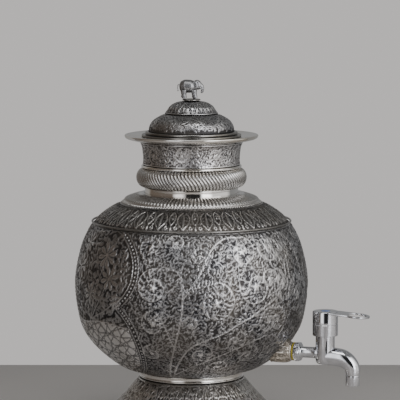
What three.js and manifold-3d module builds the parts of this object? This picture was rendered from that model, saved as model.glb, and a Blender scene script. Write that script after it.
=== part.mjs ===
// A footed silver water pot with a lift-off domed lid, an elephant finial and a chrome quarter-turn tap.
// Millimetres, +Z up. The origin is on the pot's axis, at the underside of the foot; the tap points along +X.
import * as THREE from 'three';
import { mergeVertices } from 'three/addons/utils/BufferGeometryUtils.js';
import Module from 'manifold-3d';

const wasm = await Module();
wasm.setup();

// ---- Driving dimensions -------------------------------------------------------------------------

const GAP = 0.3; // between two pieces that are soldered, screwed or rest on each other
const WALL = 1.2; // silver sheet of the raised shells
const ROUND = 36; // flats round a piece of the pot
const SMALL = 20; // flats round a piece of the tap

const FELT_THICKNESS = 1.5;
const BASE_PLATE_THICKNESS = 1.2;
const FOOT_RIM_R = 121;
const FOOT_RIM_WIDTH = 7.5;
const FOOT_RIM_HEIGHT = 10;
const FOOT_FLARE_HEIGHT = 54; // from the rim wire up to the foot ring
const FOOT_NECK_R = 74.5;
const FOOT_RING_HEIGHT = 8.7;

const BELLY_R = 167.5;
const BODY_HEIGHT = 214; // from the flat bottom to the shoulder fillet
const SHOULDER_R = BELLY_R * 0.8328;
const SHOULDER_RISE = 38.5; // from the fillet to the neck hole
const FILLET_WIRE_R = 2;

const NECK_BORE_R = 62.5;
const SLEEVE_R = NECK_BORE_R + WALL;
const NECK_BAND_R = SLEEVE_R + GAP + 3;
const NECK_BAND_HEIGHT = 11;
const COLLAR_R = NECK_BAND_R + 30;
const COLLAR_CLEARANCE = 2; // between the collar's edge and the shoulder under it
const GADROON_R = NECK_BAND_R + 12;
const GADROON_HEIGHT = 27;
const MOULDING_R = NECK_BAND_R + 5;
const MOULDING_HEIGHT = 4;
const FRIEZE_R = NECK_BAND_R + 2.2;
const FRIEZE_FLARE = 5; // how far the frieze opens out at its top
const FRIEZE_HEIGHT = 33;
const LIP_R = FRIEZE_R + 26.3;
const LIP_EDGE_HEIGHT = 6;
const LIP_HEIGHT = 9.5;

const LID_FLANGE_R = NECK_BORE_R + 8.5;
const LID_FLANGE_THICKNESS = 2.4;
const LID_STEP_R = NECK_BORE_R + 3.5;
const LID_STEP_HEIGHT = 4;
const LID_BEZEL_DEPTH = 11;
const LID_SLIP = 0.6; // between the lid's bezel and the neck
const LOWER_DOME_R = LID_STEP_R - 4;
const LOWER_DOME_HEIGHT = 25.3;
const UPPER_DOME_R = LOWER_DOME_R * 0.621;
const UPPER_DOME_HEIGHT = 18;
const FINIAL_PAD_R = 13;
const FINIAL_PAD_HEIGHT = 2;
const STUD_R = 2;

const ELEPHANT_LENGTH = 30; // from rump to forehead
const ELEPHANT_HEIGHT = 27; // from the soles to the top of the back
const ELEPHANT_TURN = THREE.MathUtils.degToRad(20); // the round lid drops in at any angle; it sits turned a little

const TAP_RISE = 34.5; // from the body's flat bottom to the inlet's axis
const INLET_LENGTH = 35.7; // from the hexagon to the tap's own axis
const BOSS_REACH = 18.7; // how far the boss stands out of the body at the inlet's axis
const THREAD_R = 10.3;
const BOSS_BASE_R = THREAD_R + 6.7;
const BOSS_FACE_R = THREAD_R + 2.7;
const TAIL_LENGTH = 27;
const TAP_WASHER_R = BOSS_FACE_R;
const TAP_WASHER_THICKNESS = 1.8;
const HEX_ACROSS_CORNERS = 2 * (THREAD_R + 4.2);
const HEX_THICKNESS = 9;
const INLET_R = 7.9;
const WATER_BORE_R = 5.6;
const CARTRIDGE_R = 9.4;
const CHAMBER_R = CARTRIDGE_R + 4.2;
const CHAMBER_TOP = 27.7; // above the inlet's axis
const CHAMBER_BOTTOM = 15.5; // below the inlet's axis
const SPOUT_ROOT_R = 12.8;
const SPOUT_END_R = 10;
const SPOUT_REACH = 40.7; // from the tap's axis to the outlet's axis
const SPOUT_DROP = 29; // from the inlet's axis to the spout's end
const NOZZLE_R = 10.1;
const NOZZLE_LENGTH = 14.5;
const NOZZLE_BORE_R = 7.6;

const SKIRT_WALL = 2.2;
const SKIRT_R = CHAMBER_R + SKIRT_WALL + 2.2;
const SKIRT_CLEARANCE = 1.6; // between the turning hub and what stands still under it
const SKIRT_HEIGHT = 35;
const LEVER_THICKNESS = 3;
const LEVER_SLOPE = THREE.MathUtils.degToRad(4.5);
const LEVER_RING_REACH = 47;
const LEVER_RING_R = 18;
const FINGER_HOLE_R = LEVER_RING_R - 4.6;
const LEVER_WAIST = 15.5; // half-width where the plate leaves the hub
const SPINDLE_R = 4;
const SPINDLE_CLEARANCE = 0.3;
const HANDLE_SCREW_R = 1.8;
const INDEX_CAP_R = 7;

// ---- Materials ----------------------------------------------------------------------------------

function metal(name, color, roughness, metalness = 1) {
  return new THREE.MeshStandardMaterial({ name, color, roughness, metalness });
}

const CHASED = metal('chased_silver', 0x8f8d8b, 0.42);
const POLISHED = metal('polished_silver', 0xd6d2cb, 0.12);
const SATIN = metal('satin_silver', 0xa8a7a6, 0.35);
const CHROME = metal('chrome', 0xe2e4e8, 0.06);
const BRASS = metal('brass', 0xc2a35a, 0.3);
const STEEL = metal('steel', 0xb4b4b2, 0.3);
const CERAMIC = metal('ceramic', 0xf0ede4, 0.4, 0);
const YELLOW_SEAL = metal('yellow_seal', 0xb8a21c, 0.6, 0);
const RUBBER = metal('rubber', 0x242424, 0.8, 0);
const FELT = metal('felt', 0x35463a, 0.95, 0);
const INDEX = metal('index_blue', 0x5a86c8, 0.35, 0);

// ---- Shaping ------------------------------------------------------------------------------------

const part = new THREE.Group();

function add(name, geometry, material) {
  const mesh = new THREE.Mesh(geometry, material);
  mesh.name = name;
  part.add(mesh);
  return mesh;
}

function weld(geometry) {
  const bare = geometry.clone();
  bare.deleteAttribute('normal');
  bare.deleteAttribute('uv');
  return mergeVertices(bare, 1e-3);
}

function toSolid(geometry) {
  const welded = weld(geometry);
  const triangles = [];
  const index = welded.index.array;
  for (let i = 0; i < index.length; i += 3) {
    const [a, b, c] = [index[i], index[i + 1], index[i + 2]];
    if (a !== b && b !== c && c !== a) triangles.push(a, b, c);
  }
  return new wasm.Manifold(new wasm.Mesh({
    numProp: 3,
    vertProperties: new Float32Array(welded.attributes.position.array),
    triVerts: new Uint32Array(triangles),
  }));
}

function toGeometry(solid) {
  const mesh = solid.getMesh();
  const geometry = new THREE.BufferGeometry();
  geometry.setAttribute('position', new THREE.BufferAttribute(new Float32Array(mesh.vertProperties), 3));
  geometry.setIndex(new THREE.BufferAttribute(new Uint32Array(mesh.triVerts), 1));
  geometry.computeVertexNormals();
  return geometry;
}

function join(first, ...others) {
  return toGeometry(others.reduce((sum, other) => sum.add(toSolid(other)), toSolid(first)));
}

function cut(first, ...others) {
  return toGeometry(others.reduce((rest, other) => rest.subtract(toSolid(other)), toSolid(first)));
}

// Turns an outline of [radius, height] points round the Z axis. The outline runs anticlockwise.
function turn(outline, flats = ROUND) {
  const points = outline.map(([r, z]) => new THREE.Vector2(Math.max(r, 0), z));
  const open = points[0].x > 0;
  if (open) points.push(points[0].clone());
  const geometry = new THREE.LatheGeometry(points, flats);
  geometry.rotateX(Math.PI / 2);
  return weld(geometry);
}

// A smooth run of [radius, height] points through a few chosen ones.
function smooth(points, pieces) {
  const curve = new THREE.SplineCurve(points.map(([r, z]) => new THREE.Vector2(r, z)));
  return curve.getPoints(pieces).map((p) => [p.x, p.y]);
}

// An arc of [radius, height] points, angles in degrees from the outward direction.
function arc(centreR, centreZ, radiusR, radiusZ, from, to, pieces) {
  const points = [];
  for (let i = 0; i <= pieces; i += 1) {
    const angle = THREE.MathUtils.degToRad(from + ((to - from) * i) / pieces);
    points.push([centreR + radiusR * Math.cos(angle), centreZ + radiusZ * Math.sin(angle)]);
  }
  return points;
}

// Closes an upward-running outer face into sheet metal of one thickness. An end on the axis stays there;
// a steep end is trimmed level and a flat one is trimmed plumb, so that neighbours meet it squarely.
function sheet(outer, thickness = WALL) {
  const last = outer.length - 1;
  const steep = 0.4;
  const inner = outer.map(([r, z], i) => {
    const before = outer[Math.max(i - 1, 0)];
    const after = outer[Math.min(i + 1, last)];
    const along = new THREE.Vector2(after[0] - before[0], after[1] - before[1]).normalize();
    if (i > 0 && i < last) return [r - along.y * thickness, z + along.x * thickness];
    if (Math.abs(along.y) > steep) return [r - thickness / along.y, z];
    return [r, z + thickness / along.x];
  });
  return [...outer, ...inner.reverse()];
}

function tube(outerR, innerR, bottom, top) {
  return [[outerR, bottom], [outerR, top], [innerR, top], [innerR, bottom]];
}

function rod(radius, bottom, top, flats = SMALL) {
  return turn([[0, bottom], [radius, bottom], [radius, top], [0, top]], flats);
}

// The same, lying along +X at the tap's height.
function alongTap(geometry) {
  return geometry.rotateY(Math.PI / 2).translate(0, 0, tapZ);
}

// ---- Foot ---------------------------------------------------------------------------------------

const footRimBottom = GAP;
const footRimTop = footRimBottom + FOOT_RIM_HEIGHT;
const footRimInner = FOOT_RIM_R - FOOT_RIM_WIDTH;
const basePlateBottom = FELT_THICKNESS + GAP;
const flareBottom = footRimTop + GAP;
const flareTop = flareBottom + FOOT_FLARE_HEIGHT;
const flareFootR = FOOT_RIM_R - 2.5;

function footFlare() {
  const spread = flareFootR - FOOT_NECK_R;
  const at = (out, down) => [FOOT_NECK_R + spread * out, flareTop - FOOT_FLARE_HEIGHT * down];
  return smooth([at(1, 1), at(0.87, 0.82), at(0.67, 0.625), at(0.45, 0.44), at(0.21, 0.205), at(0, 0)], 5);
}

function makeFoot() {
  const coreR = footRimInner - GAP;
  add('base_felt', rod(coreR, 0, FELT_THICKNESS, ROUND), FELT);
  add('base_plate', rod(coreR, basePlateBottom, basePlateBottom + BASE_PLATE_THICKNESS, ROUND), SATIN);
  const bulge = arc(FOOT_RIM_R - FOOT_RIM_HEIGHT / 4, (footRimBottom + footRimTop) / 2,
    FOOT_RIM_HEIGHT / 4, FOOT_RIM_HEIGHT / 2, -90, 90, 4);
  add('foot_rim', turn([[footRimInner, footRimBottom], ...bulge, [footRimInner, footRimTop]]), POLISHED);
  add('foot_shell', turn(sheet(footFlare())), CHASED);
  const ringTop = flareTop + GAP + FOOT_RING_HEIGHT;
  const ringMiddle = flareTop + GAP + FOOT_RING_HEIGHT / 2;
  const waist = arc(FOOT_NECK_R + 0.5, ringMiddle, 1.5, FOOT_RING_HEIGHT / 2, 270, 90, 4);
  add('foot_ring', turn([...waist, [FOOT_NECK_R - 5, ringTop], [FOOT_NECK_R - 5, flareTop + GAP]]), POLISHED);
  return ringTop;
}

const bodyBottom = makeFoot() + GAP;

// ---- Body and shoulder --------------------------------------------------------------------------

const filletZ = bodyBottom + BODY_HEIGHT;

function bodyOutside() {
  const wide = (share) => BELLY_R * share;
  const high = (share) => bodyBottom + BODY_HEIGHT * share;
  const side = smooth([
    [FOOT_NECK_R + 3, bodyBottom], [wide(0.605), high(0.037)], [wide(0.757), high(0.122)],
    [wide(0.888), high(0.232)], [wide(0.962), high(0.36)], [BELLY_R, high(0.6)],
    [wide(0.948), high(0.83)], [wide(0.872), high(0.968)], [SHOULDER_R, high(1)],
  ], 11);
  return [[0, bodyBottom], ...side];
}

function shoulderOutside(bottom) {
  const span = SHOULDER_R - shoulderHoleR;
  const at = (inward, up) => [SHOULDER_R - span * inward, bottom + SHOULDER_RISE * up];
  return smooth([
    at(0, 0), at(0.1, 0.227), at(0.26, 0.464), at(0.43, 0.655), at(0.61, 0.8), at(0.83, 0.93), at(1, 1),
  ], 6);
}

// The radius of an outline of [radius, height] points at one height.
function radiusAt(outline, height) {
  const above = outline.findIndex(([, z], i) => i > 0 && z >= height);
  const [[r0, z0], [r1, z1]] = [outline[above - 1], outline[above]];
  return THREE.MathUtils.mapLinear(height, z0, z1, r0, r1);
}

// The height of an inward-running outline of [radius, height] points at one radius.
function heightAt(outline, radius) {
  const past = outline.findIndex(([r], i) => i > 0 && r <= radius);
  const [[r0, z0], [r1, z1]] = [outline[past - 1], outline[past]];
  return THREE.MathUtils.mapLinear(radius, r0, r1, z0, z1);
}

const tapZ = bodyBottom + TAP_RISE;
const bossEnd = radiusAt(bodyOutside(), tapZ) + BOSS_REACH;
const shoulderHoleR = SLEEVE_R + GAP;
const shoulderBottom = filletZ + GAP;
const shoulderTop = shoulderBottom + SHOULDER_RISE;

function tapPort(radius) {
  return alongTap(rod(radius, bossEnd - TAIL_LENGTH - 10, bossEnd + 1));
}

const socketR = THREAD_R + GAP;

// The belly is raised in two halves that are soldered together a little below its widest line.
const bellyLine = bodyOutside();
const seam = 7;
const lowerHalf = bellyLine.slice(0, seam + 1);
const upperHalf = bellyLine.slice(seam);
upperHalf[0] = [radiusAt(bellyLine, bellyLine[seam][1] + GAP), bellyLine[seam][1] + GAP];
add('body_lower', cut(turn(sheet(lowerHalf)), tapPort(socketR)), CHASED);
add('body_upper', turn(sheet(upperHalf)), CHASED);
add('shoulder_shell', turn(sheet(shoulderOutside(shoulderBottom))), CHASED);
const wireOffset = (FILLET_WIRE_R + GAP) * Math.SQRT1_2; // out and up, square to the slope of the seam
const wire = arc(SHOULDER_R + wireOffset, filletZ + GAP / 2 + wireOffset, FILLET_WIRE_R, FILLET_WIRE_R, 0, 300, 5);
add('shoulder_fillet', turn(wire), SATIN);

// ---- Neck ---------------------------------------------------------------------------------------

const neckBandBottom = shoulderTop + GAP;
const neckBandTop = neckBandBottom + NECK_BAND_HEIGHT;
const gadroonBottom = neckBandTop + GAP;
const gadroonTop = gadroonBottom + GADROON_HEIGHT;
const mouldingBottom = gadroonTop + GAP;
const mouldingTop = mouldingBottom + MOULDING_HEIGHT;
const friezeBottom = mouldingTop + GAP;
const friezeTop = friezeBottom + FRIEZE_HEIGHT;
const lipBottom = friezeTop + GAP;
const lipTop = lipBottom + LIP_HEIGHT;
const fittedR = SLEEVE_R + GAP; // inside of every band that is slipped over the neck sleeve

function makeNeck() {
  add('neck_sleeve', turn(tube(SLEEVE_R, NECK_BORE_R, shoulderTop - 4, lipTop - 2 * WALL)), SATIN);

  const collarTop = neckBandBottom + 3;
  const collarInner = NECK_BAND_R + GAP;
  const reach = COLLAR_R - collarInner;
  const collarBottom = heightAt(shoulderOutside(shoulderBottom), COLLAR_R) + COLLAR_CLEARANCE;
  const up = (share) => THREE.MathUtils.lerp(collarBottom, collarTop, share);
  const dome = smooth([
    [COLLAR_R, up(0)], [COLLAR_R - reach * 0.12, up(0.38)], [COLLAR_R - reach * 0.5, up(0.76)],
    [COLLAR_R - reach * 0.8, up(0.95)], [collarInner, up(1)],
  ], 4);
  add('collar_plate', turn(sheet(dome)), POLISHED);

  add('neck_band', turn(tube(NECK_BAND_R, fittedR, neckBandBottom, neckBandTop)), POLISHED);

  const seatR = NECK_BAND_R + 1;
  const swell = arc(seatR, (gadroonBottom + gadroonTop) / 2, GADROON_R - seatR, GADROON_HEIGHT / 2, -90, 90, 6);
  add('gadroon_ring', turn(sheet(swell)), CHASED);

  const bead = arc(MOULDING_R - MOULDING_HEIGHT / 2, (mouldingBottom + mouldingTop) / 2,
    MOULDING_HEIGHT / 2, MOULDING_HEIGHT / 2, -90, 90, 3);
  add('neck_moulding', turn([[fittedR, mouldingBottom], ...bead, [fittedR, mouldingTop]]), POLISHED);

  const frieze = smooth([
    [FRIEZE_R + 0.6, friezeBottom], [FRIEZE_R, friezeBottom + FRIEZE_HEIGHT * 0.3],
    [FRIEZE_R + FRIEZE_FLARE * 0.35, friezeBottom + FRIEZE_HEIGHT * 0.75], [FRIEZE_R + FRIEZE_FLARE, friezeTop],
  ], 4);
  add('neck_frieze', turn(sheet(frieze)), CHASED);

  const lipRootR = FRIEZE_R + FRIEZE_FLARE;
  add('rim_lip', turn([
    [fittedR, lipBottom], [lipRootR, lipBottom], [(lipRootR + LIP_R) / 2, lipTop - LIP_EDGE_HEIGHT - 1.5],
    [LIP_R - 4, lipTop - LIP_EDGE_HEIGHT], [LIP_R - 1, lipTop - LIP_EDGE_HEIGHT / 2], [LIP_R, lipTop - 0.6],
    [LIP_R - 1, lipTop], [LIP_R - 5, lipTop - 1.2], [LID_FLANGE_R, lipTop - 2 * WALL], [fittedR, lipTop - 2 * WALL],
  ]), POLISHED);
}

makeNeck();

// ---- Lid ----------------------------------------------------------------------------------------

const lidSeat = lipTop - 2 * WALL + GAP;
const flangeTop = lidSeat + LID_FLANGE_THICKNESS;
const stepBottom = flangeTop + GAP;
const stepTop = stepBottom + LID_STEP_HEIGHT;
const lowerDomeBottom = stepTop + GAP;
const lowerDomeTop = lowerDomeBottom + LOWER_DOME_HEIGHT;
const upperDomeBottom = lowerDomeTop + GAP;
const upperDomeTop = upperDomeBottom + UPPER_DOME_HEIGHT;
const domeBoreR = UPPER_DOME_R - 6; // the lower dome's top hole, under the upper dome
const bezelR = NECK_BORE_R - LID_SLIP;

function makeLid() {
  add('lid_flange', turn(tube(LID_FLANGE_R, bezelR - WALL, lidSeat, flangeTop)), SATIN);
  const bezelTop = lidSeat - GAP;
  add('lid_bezel', turn(tube(bezelR, bezelR - WALL, bezelTop - LID_BEZEL_DEPTH, bezelTop)), SATIN);

  const stepMiddle = (stepBottom + stepTop) / 2;
  const stepBulge = arc(LID_STEP_R - 1, stepMiddle, 1, LID_STEP_HEIGHT / 2, -90, 90, 2);
  add('lid_step', turn([[bezelR - WALL, stepBottom], ...stepBulge, [bezelR - WALL, stepTop]]), SATIN);

  const low = (r, share) => [r, lowerDomeBottom + LOWER_DOME_HEIGHT * share];
  const lower = smooth([
    low(LOWER_DOME_R, 0), low(LOWER_DOME_R * 0.965, 0.33), low(LOWER_DOME_R * 0.89, 0.6),
    low(LOWER_DOME_R * 0.775, 0.8), low(UPPER_DOME_R + 1, 0.95), low(domeBoreR, 1),
  ], 6);
  add('lid_lower_dome', turn(sheet(lower)), CHASED);

  const up = (share, rise) => [UPPER_DOME_R * share, upperDomeBottom + UPPER_DOME_HEIGHT * rise];
  const studHole = (STUD_R + GAP) / UPPER_DOME_R;
  const upper = smooth([
    up(1, 0), up(0.9, 0.26), up(0.795, 0.57), up(0.61, 0.82), up(0.39, 0.94), up(studHole, 1),
  ], 6);
  add('lid_upper_dome', turn(sheet(upper)), CHASED);
}

makeLid();

// ---- Elephant finial ----------------------------------------------------------------------------

const padBottom = upperDomeTop + GAP;
const padTop = padBottom + FINIAL_PAD_HEIGHT;

function ball(radius, x, y, z, sx = 1, sy = 1, sz = 1) {
  return new THREE.SphereGeometry(radius, 12, 8).scale(sx, sy, sz).translate(x, y, z);
}

// A round bar along a curve, thinning evenly from its first radius to its last.
function taperedBar(points, firstR, lastR, steps, sides) {
  const path = new THREE.CatmullRomCurve3(points.map((p) => new THREE.Vector3(...p)));
  const section = new THREE.Shape();
  section.absarc(0, 0, firstR, 0, Math.PI * 2);
  const geometry = new THREE.ExtrudeGeometry(section, { steps, extrudePath: path, curveSegments: sides / 2 });
  const centres = path.getSpacedPoints(steps);
  const position = geometry.attributes.position;
  const point = new THREE.Vector3();
  for (let i = 0; i < position.count; i += 1) {
    point.fromBufferAttribute(position, i);
    const distances = centres.map((centre) => centre.distanceTo(point));
    const nearest = distances.indexOf(Math.min(...distances));
    const thinning = THREE.MathUtils.lerp(1, lastR / firstR, nearest / steps);
    point.sub(centres[nearest]).multiplyScalar(thinning).add(centres[nearest]);
    position.setXYZ(i, point.x, point.y, point.z);
  }
  return geometry;
}

function makeElephant() {
  const soles = padTop + GAP;
  const l = (share) => ELEPHANT_LENGTH * share;
  const h = (share) => soles + ELEPHANT_HEIGHT * share;
  const pieces = [
    ball(l(0.377), l(-0.19), 0, h(0.645), 1, 0.72, 0.86),
    ball(l(0.2), l(0.26), 0, h(0.76), 1, 0.85, 1.05),
  ];
  for (const side of [-1, 1]) {
    const footOut = side * l(0.14);
    const legTop = side * l(0.11);
    pieces.push(ball(l(0.15), l(0.14), side * l(0.17), h(0.7), 0.75, 0.28, 1.2));
    pieces.push(taperedBar([
      [l(0.33), side * l(0.1), h(0.66)], [l(0.42), side * l(0.12), h(0.58)], [l(0.5), side * l(0.13), h(0.6)],
    ], 0.8, 0.35, 3, 6));
    const hindStep = side * 0.09;
    const foreStep = side * 0.08;
    pieces.push(taperedBar([
      [l(-0.36 - hindStep), footOut, soles - 1], [l(-0.35), footOut, h(0.2)], [l(-0.34), legTop, h(0.5)],
    ], 2.2, 2.7, 3, 8));
    pieces.push(taperedBar([
      [l(0.22 - foreStep), footOut, soles - 1], [l(0.19 - foreStep), footOut, h(0.25)], [l(0.17), legTop, h(0.55)],
    ], 2.1, 2.7, 3, 8));
  }
  pieces.push(taperedBar([
    [l(0.38), 0, h(0.86)], [l(0.52), 0, h(0.8)], [l(0.62), 0, h(0.65)], [l(0.61), 0, h(0.51)], [l(0.51), 0, h(0.49)],
  ], 2.1, 1.1, 7, 8));
  pieces.push(taperedBar([[l(-0.53), 0, h(0.72)], [l(-0.58), 0, h(0.58)], [l(-0.56), 0, h(0.42)]], 0.9, 0.6, 3, 6));
  const figure = join(...pieces);
  const stud = rod(STUD_R, upperDomeTop - 9, padTop, 12); // the figure is soldered to the pad by its feet
  const below = new THREE.BoxGeometry(2 * ELEPHANT_LENGTH, ELEPHANT_LENGTH, 10).translate(0, 0, soles - 5);
  add('elephant', cut(figure, below).rotateZ(ELEPHANT_TURN), SATIN);
  add('finial_stud', stud, BRASS);
}

function makeFinialSeat() {
  const padBore = STUD_R + GAP;
  add('finial_pad', turn([
    [padBore, padBottom], [FINIAL_PAD_R, padBottom], [FINIAL_PAD_R, padBottom + 1.2],
    [FINIAL_PAD_R - 1, padTop], [padBore, padTop],
  ], 24), SATIN);
  const washerTop = upperDomeTop - WALL - GAP - 0.4;
  add('finial_washer', turn(tube(6, padBore, washerTop - 1, washerTop), 12), BRASS);
  const nutTop = washerTop - 1 - GAP;
  add('finial_nut', turn(tube(4, padBore, nutTop - 3.2, nutTop), 6), BRASS);
}

makeElephant();
makeFinialSeat();

// ---- Tap: what stands still ---------------------------------------------------------------------

const washerEnd = bossEnd + GAP + TAP_WASHER_THICKNESS;
const hexStart = washerEnd + GAP;
const hexEnd = hexStart + HEX_THICKNESS;
const tapX = hexEnd + INLET_LENGTH;
const chamberTop = tapZ + CHAMBER_TOP;
const chamberBottom = tapZ - CHAMBER_BOTTOM;
const cartridgeBoreR = CARTRIDGE_R + GAP;
const cartridgeFloor = tapZ - WATER_BORE_R - 1.5;
const outletX = tapX + SPOUT_REACH;
const spoutEnd = tapZ - SPOUT_DROP;

function makeBoss() {
  const cone = alongTap(turn([
    [0, bossEnd - 40], [BOSS_BASE_R, bossEnd - 40], [BOSS_BASE_R, bossEnd - 10],
    [BOSS_FACE_R + 0.8, bossEnd - 2.5], [BOSS_FACE_R, bossEnd], [0, bossEnd],
  ], SMALL));
  const clearOfBody = bodyOutside().map(([r, z]) => [r === 0 ? 0 : r + GAP, z]);
  const bodyBulk = turn([...clearOfBody, [0, filletZ]]);
  add('tap_boss', cut(cone, bodyBulk, tapPort(socketR)), CHASED);
  const washer = alongTap(turn(tube(TAP_WASHER_R, socketR, bossEnd + GAP, washerEnd), SMALL));
  add('tap_washer', washer, YELLOW_SEAL);
}

function spoutPath(from) {
  return [
    [from, 0, tapZ - 4], [tapX + SPOUT_REACH * 0.35, 0, tapZ - 3.6],
    [tapX + SPOUT_REACH * 0.68, 0, tapZ - 6.5], [tapX + SPOUT_REACH * 0.93, 0, tapZ - 14.5],
    [outletX, 0, tapZ - 24], [outletX, 0, spoutEnd],
  ];
}

function makeTapBody() {
  const tail = alongTap(rod(THREAD_R, bossEnd - TAIL_LENGTH, hexStart + 1));
  const hex = alongTap(rod(HEX_ACROSS_CORNERS / 2, hexStart, hexEnd, 6));
  const inlet = alongTap(rod(INLET_R, hexEnd - 1, tapX));
  const chamber = turn([
    [0, chamberBottom], [CHAMBER_R * 0.6, chamberBottom], [CHAMBER_R * 0.92, chamberBottom + 2.5],
    [CHAMBER_R, chamberBottom + 7], [CHAMBER_R, chamberTop], [0, chamberTop],
  ], SMALL).translate(tapX, 0, 0);
  const spout = taperedBar(spoutPath(tapX), SPOUT_ROOT_R, SPOUT_END_R, 9, SMALL);
  const casting = join(tail, hex, inlet, chamber, spout);
  const waterway = spoutPath(tapX);
  waterway.push([outletX, 0, spoutEnd - 5]);
  const bored = cut(
    casting,
    alongTap(rod(WATER_BORE_R, bossEnd - TAIL_LENGTH - 1, tapX, 12)),
    taperedBar(waterway, WATER_BORE_R, WATER_BORE_R, 9, 12),
    rod(cartridgeBoreR, cartridgeFloor, chamberTop + 1).translate(tapX, 0, 0),
  );
  add('tap_body', bored, CHROME);
  const nozzleTop = spoutEnd - GAP;
  add('outlet_nozzle', turn([
    [NOZZLE_R, nozzleTop - NOZZLE_LENGTH + 1], [NOZZLE_R, nozzleTop], [NOZZLE_BORE_R, nozzleTop],
    [NOZZLE_BORE_R, nozzleTop - NOZZLE_LENGTH], [NOZZLE_R - 0.8, nozzleTop - NOZZLE_LENGTH],
  ], SMALL).translate(outletX, 0, 0), CHROME);
}

makeBoss();
makeTapBody();

// ---- Tap: the quarter-turn headwork ----------------------------------------------------------------

const DISC_THICKNESS = 2.6;
const DISC_R = CARTRIDGE_R - 1.6;
const SEAL_THICKNESS = 1.6;
const sealBottom = cartridgeFloor + GAP;
const fixedDiscBottom = sealBottom + SEAL_THICKNESS + GAP;
const movingDiscBottom = fixedDiscBottom + DISC_THICKNESS + GAP;
const driverBottom = movingDiscBottom + DISC_THICKNESS + GAP;
const driverTop = driverBottom + 3;
const cartridgeTop = chamberTop + GAP + 4;
const skirtBottom = chamberTop - 2;
const skirtTop = skirtBottom + SKIRT_HEIGHT;
const hubFloor = skirtTop - 5;
const spindleTop = hubFloor - GAP + 2;

function discWithPorts() {
  const disc = new THREE.Shape();
  disc.absarc(0, 0, DISC_R, 0, Math.PI * 2);
  for (const start of [0, Math.PI]) {
    const port = new THREE.Path();
    port.absarc(0, 0, DISC_R - 1.8, start + 0.25, start + Math.PI / 2 - 0.25);
    port.absarc(0, 0, 2, start + Math.PI / 2 - 0.5, start + 0.5, true);
    port.closePath();
    disc.holes.push(port);
  }
  return new THREE.ExtrudeGeometry(disc, { depth: DISC_THICKNESS, bevelEnabled: false, curveSegments: 6 });
}

function onTapCentre(outline, flats = SMALL) {
  return turn(outline, flats).translate(tapX, 0, 0);
}

function makeHeadwork() {
  add('seat_seal', onTapCentre(tube(CARTRIDGE_R, WATER_BORE_R, sealBottom, sealBottom + SEAL_THICKNESS)), RUBBER);
  add('fixed_disc', discWithPorts().translate(tapX, 0, fixedDiscBottom), CERAMIC);
  add('moving_disc', discWithPorts().rotateZ(Math.PI / 2).translate(tapX, 0, movingDiscBottom), CERAMIC);

  const sleeveBore = DISC_R + GAP;
  const spindleBore = SPINDLE_R + SPINDLE_CLEARANCE;
  const grooveR = spindleBore + 1.9;
  const grooveBottom = driverTop + 6;
  const flangeR = CHAMBER_R - 0.5;
  add('cartridge_body', onTapCentre([
    [CARTRIDGE_R, fixedDiscBottom], [CARTRIDGE_R, chamberTop + GAP], [flangeR, chamberTop + GAP],
    [flangeR, cartridgeTop], [spindleBore, cartridgeTop], [spindleBore, grooveBottom + 2.4],
    [grooveR, grooveBottom + 2.4], [grooveR, grooveBottom], [spindleBore, grooveBottom],
    [spindleBore, driverTop + GAP], [sleeveBore, driverTop + GAP], [sleeveBore, fixedDiscBottom],
  ]), BRASS);
  const ringR = (spindleBore + grooveR) / 2;
  const ring = arc(ringR, grooveBottom + 1.2, 0.75, 0.75, 0, 300, 5);
  add('spindle_o_ring', onTapCentre(ring), RUBBER);

  const screwBore = HANDLE_SCREW_R + GAP;
  add('spindle', onTapCentre([
    [0, driverBottom], [DISC_R - 0.8, driverBottom], [DISC_R - 0.8, driverTop], [SPINDLE_R, driverTop],
    [SPINDLE_R, spindleTop], [screwBore, spindleTop], [screwBore, spindleTop - 9], [0, spindleTop - 9],
  ]), BRASS);
  return screwBore;
}

function leverPlate() {
  const half = THREE.MathUtils.degToRad(40);
  const plate = new THREE.Shape();
  plate.moveTo(0, -LEVER_WAIST);
  plate.lineTo(LEVER_RING_REACH - LEVER_RING_R * Math.cos(half), -LEVER_RING_R * Math.sin(half) - 3.5);
  plate.absarc(LEVER_RING_REACH, 0, LEVER_RING_R, -Math.PI * 0.62, Math.PI * 0.62);
  plate.lineTo(LEVER_RING_REACH - LEVER_RING_R * Math.cos(half), LEVER_RING_R * Math.sin(half) + 3.5);
  plate.lineTo(0, LEVER_WAIST);
  plate.closePath();
  const hole = new THREE.Path();
  hole.absarc(LEVER_RING_REACH, 0, FINGER_HOLE_R, 0, Math.PI * 2);
  plate.holes.push(hole);
  return new THREE.ExtrudeGeometry(plate, { depth: LEVER_THICKNESS, bevelEnabled: false, curveSegments: 9 })
    .translate(0, 0, -LEVER_THICKNESS)
    .rotateY(LEVER_SLOPE);
}

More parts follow.
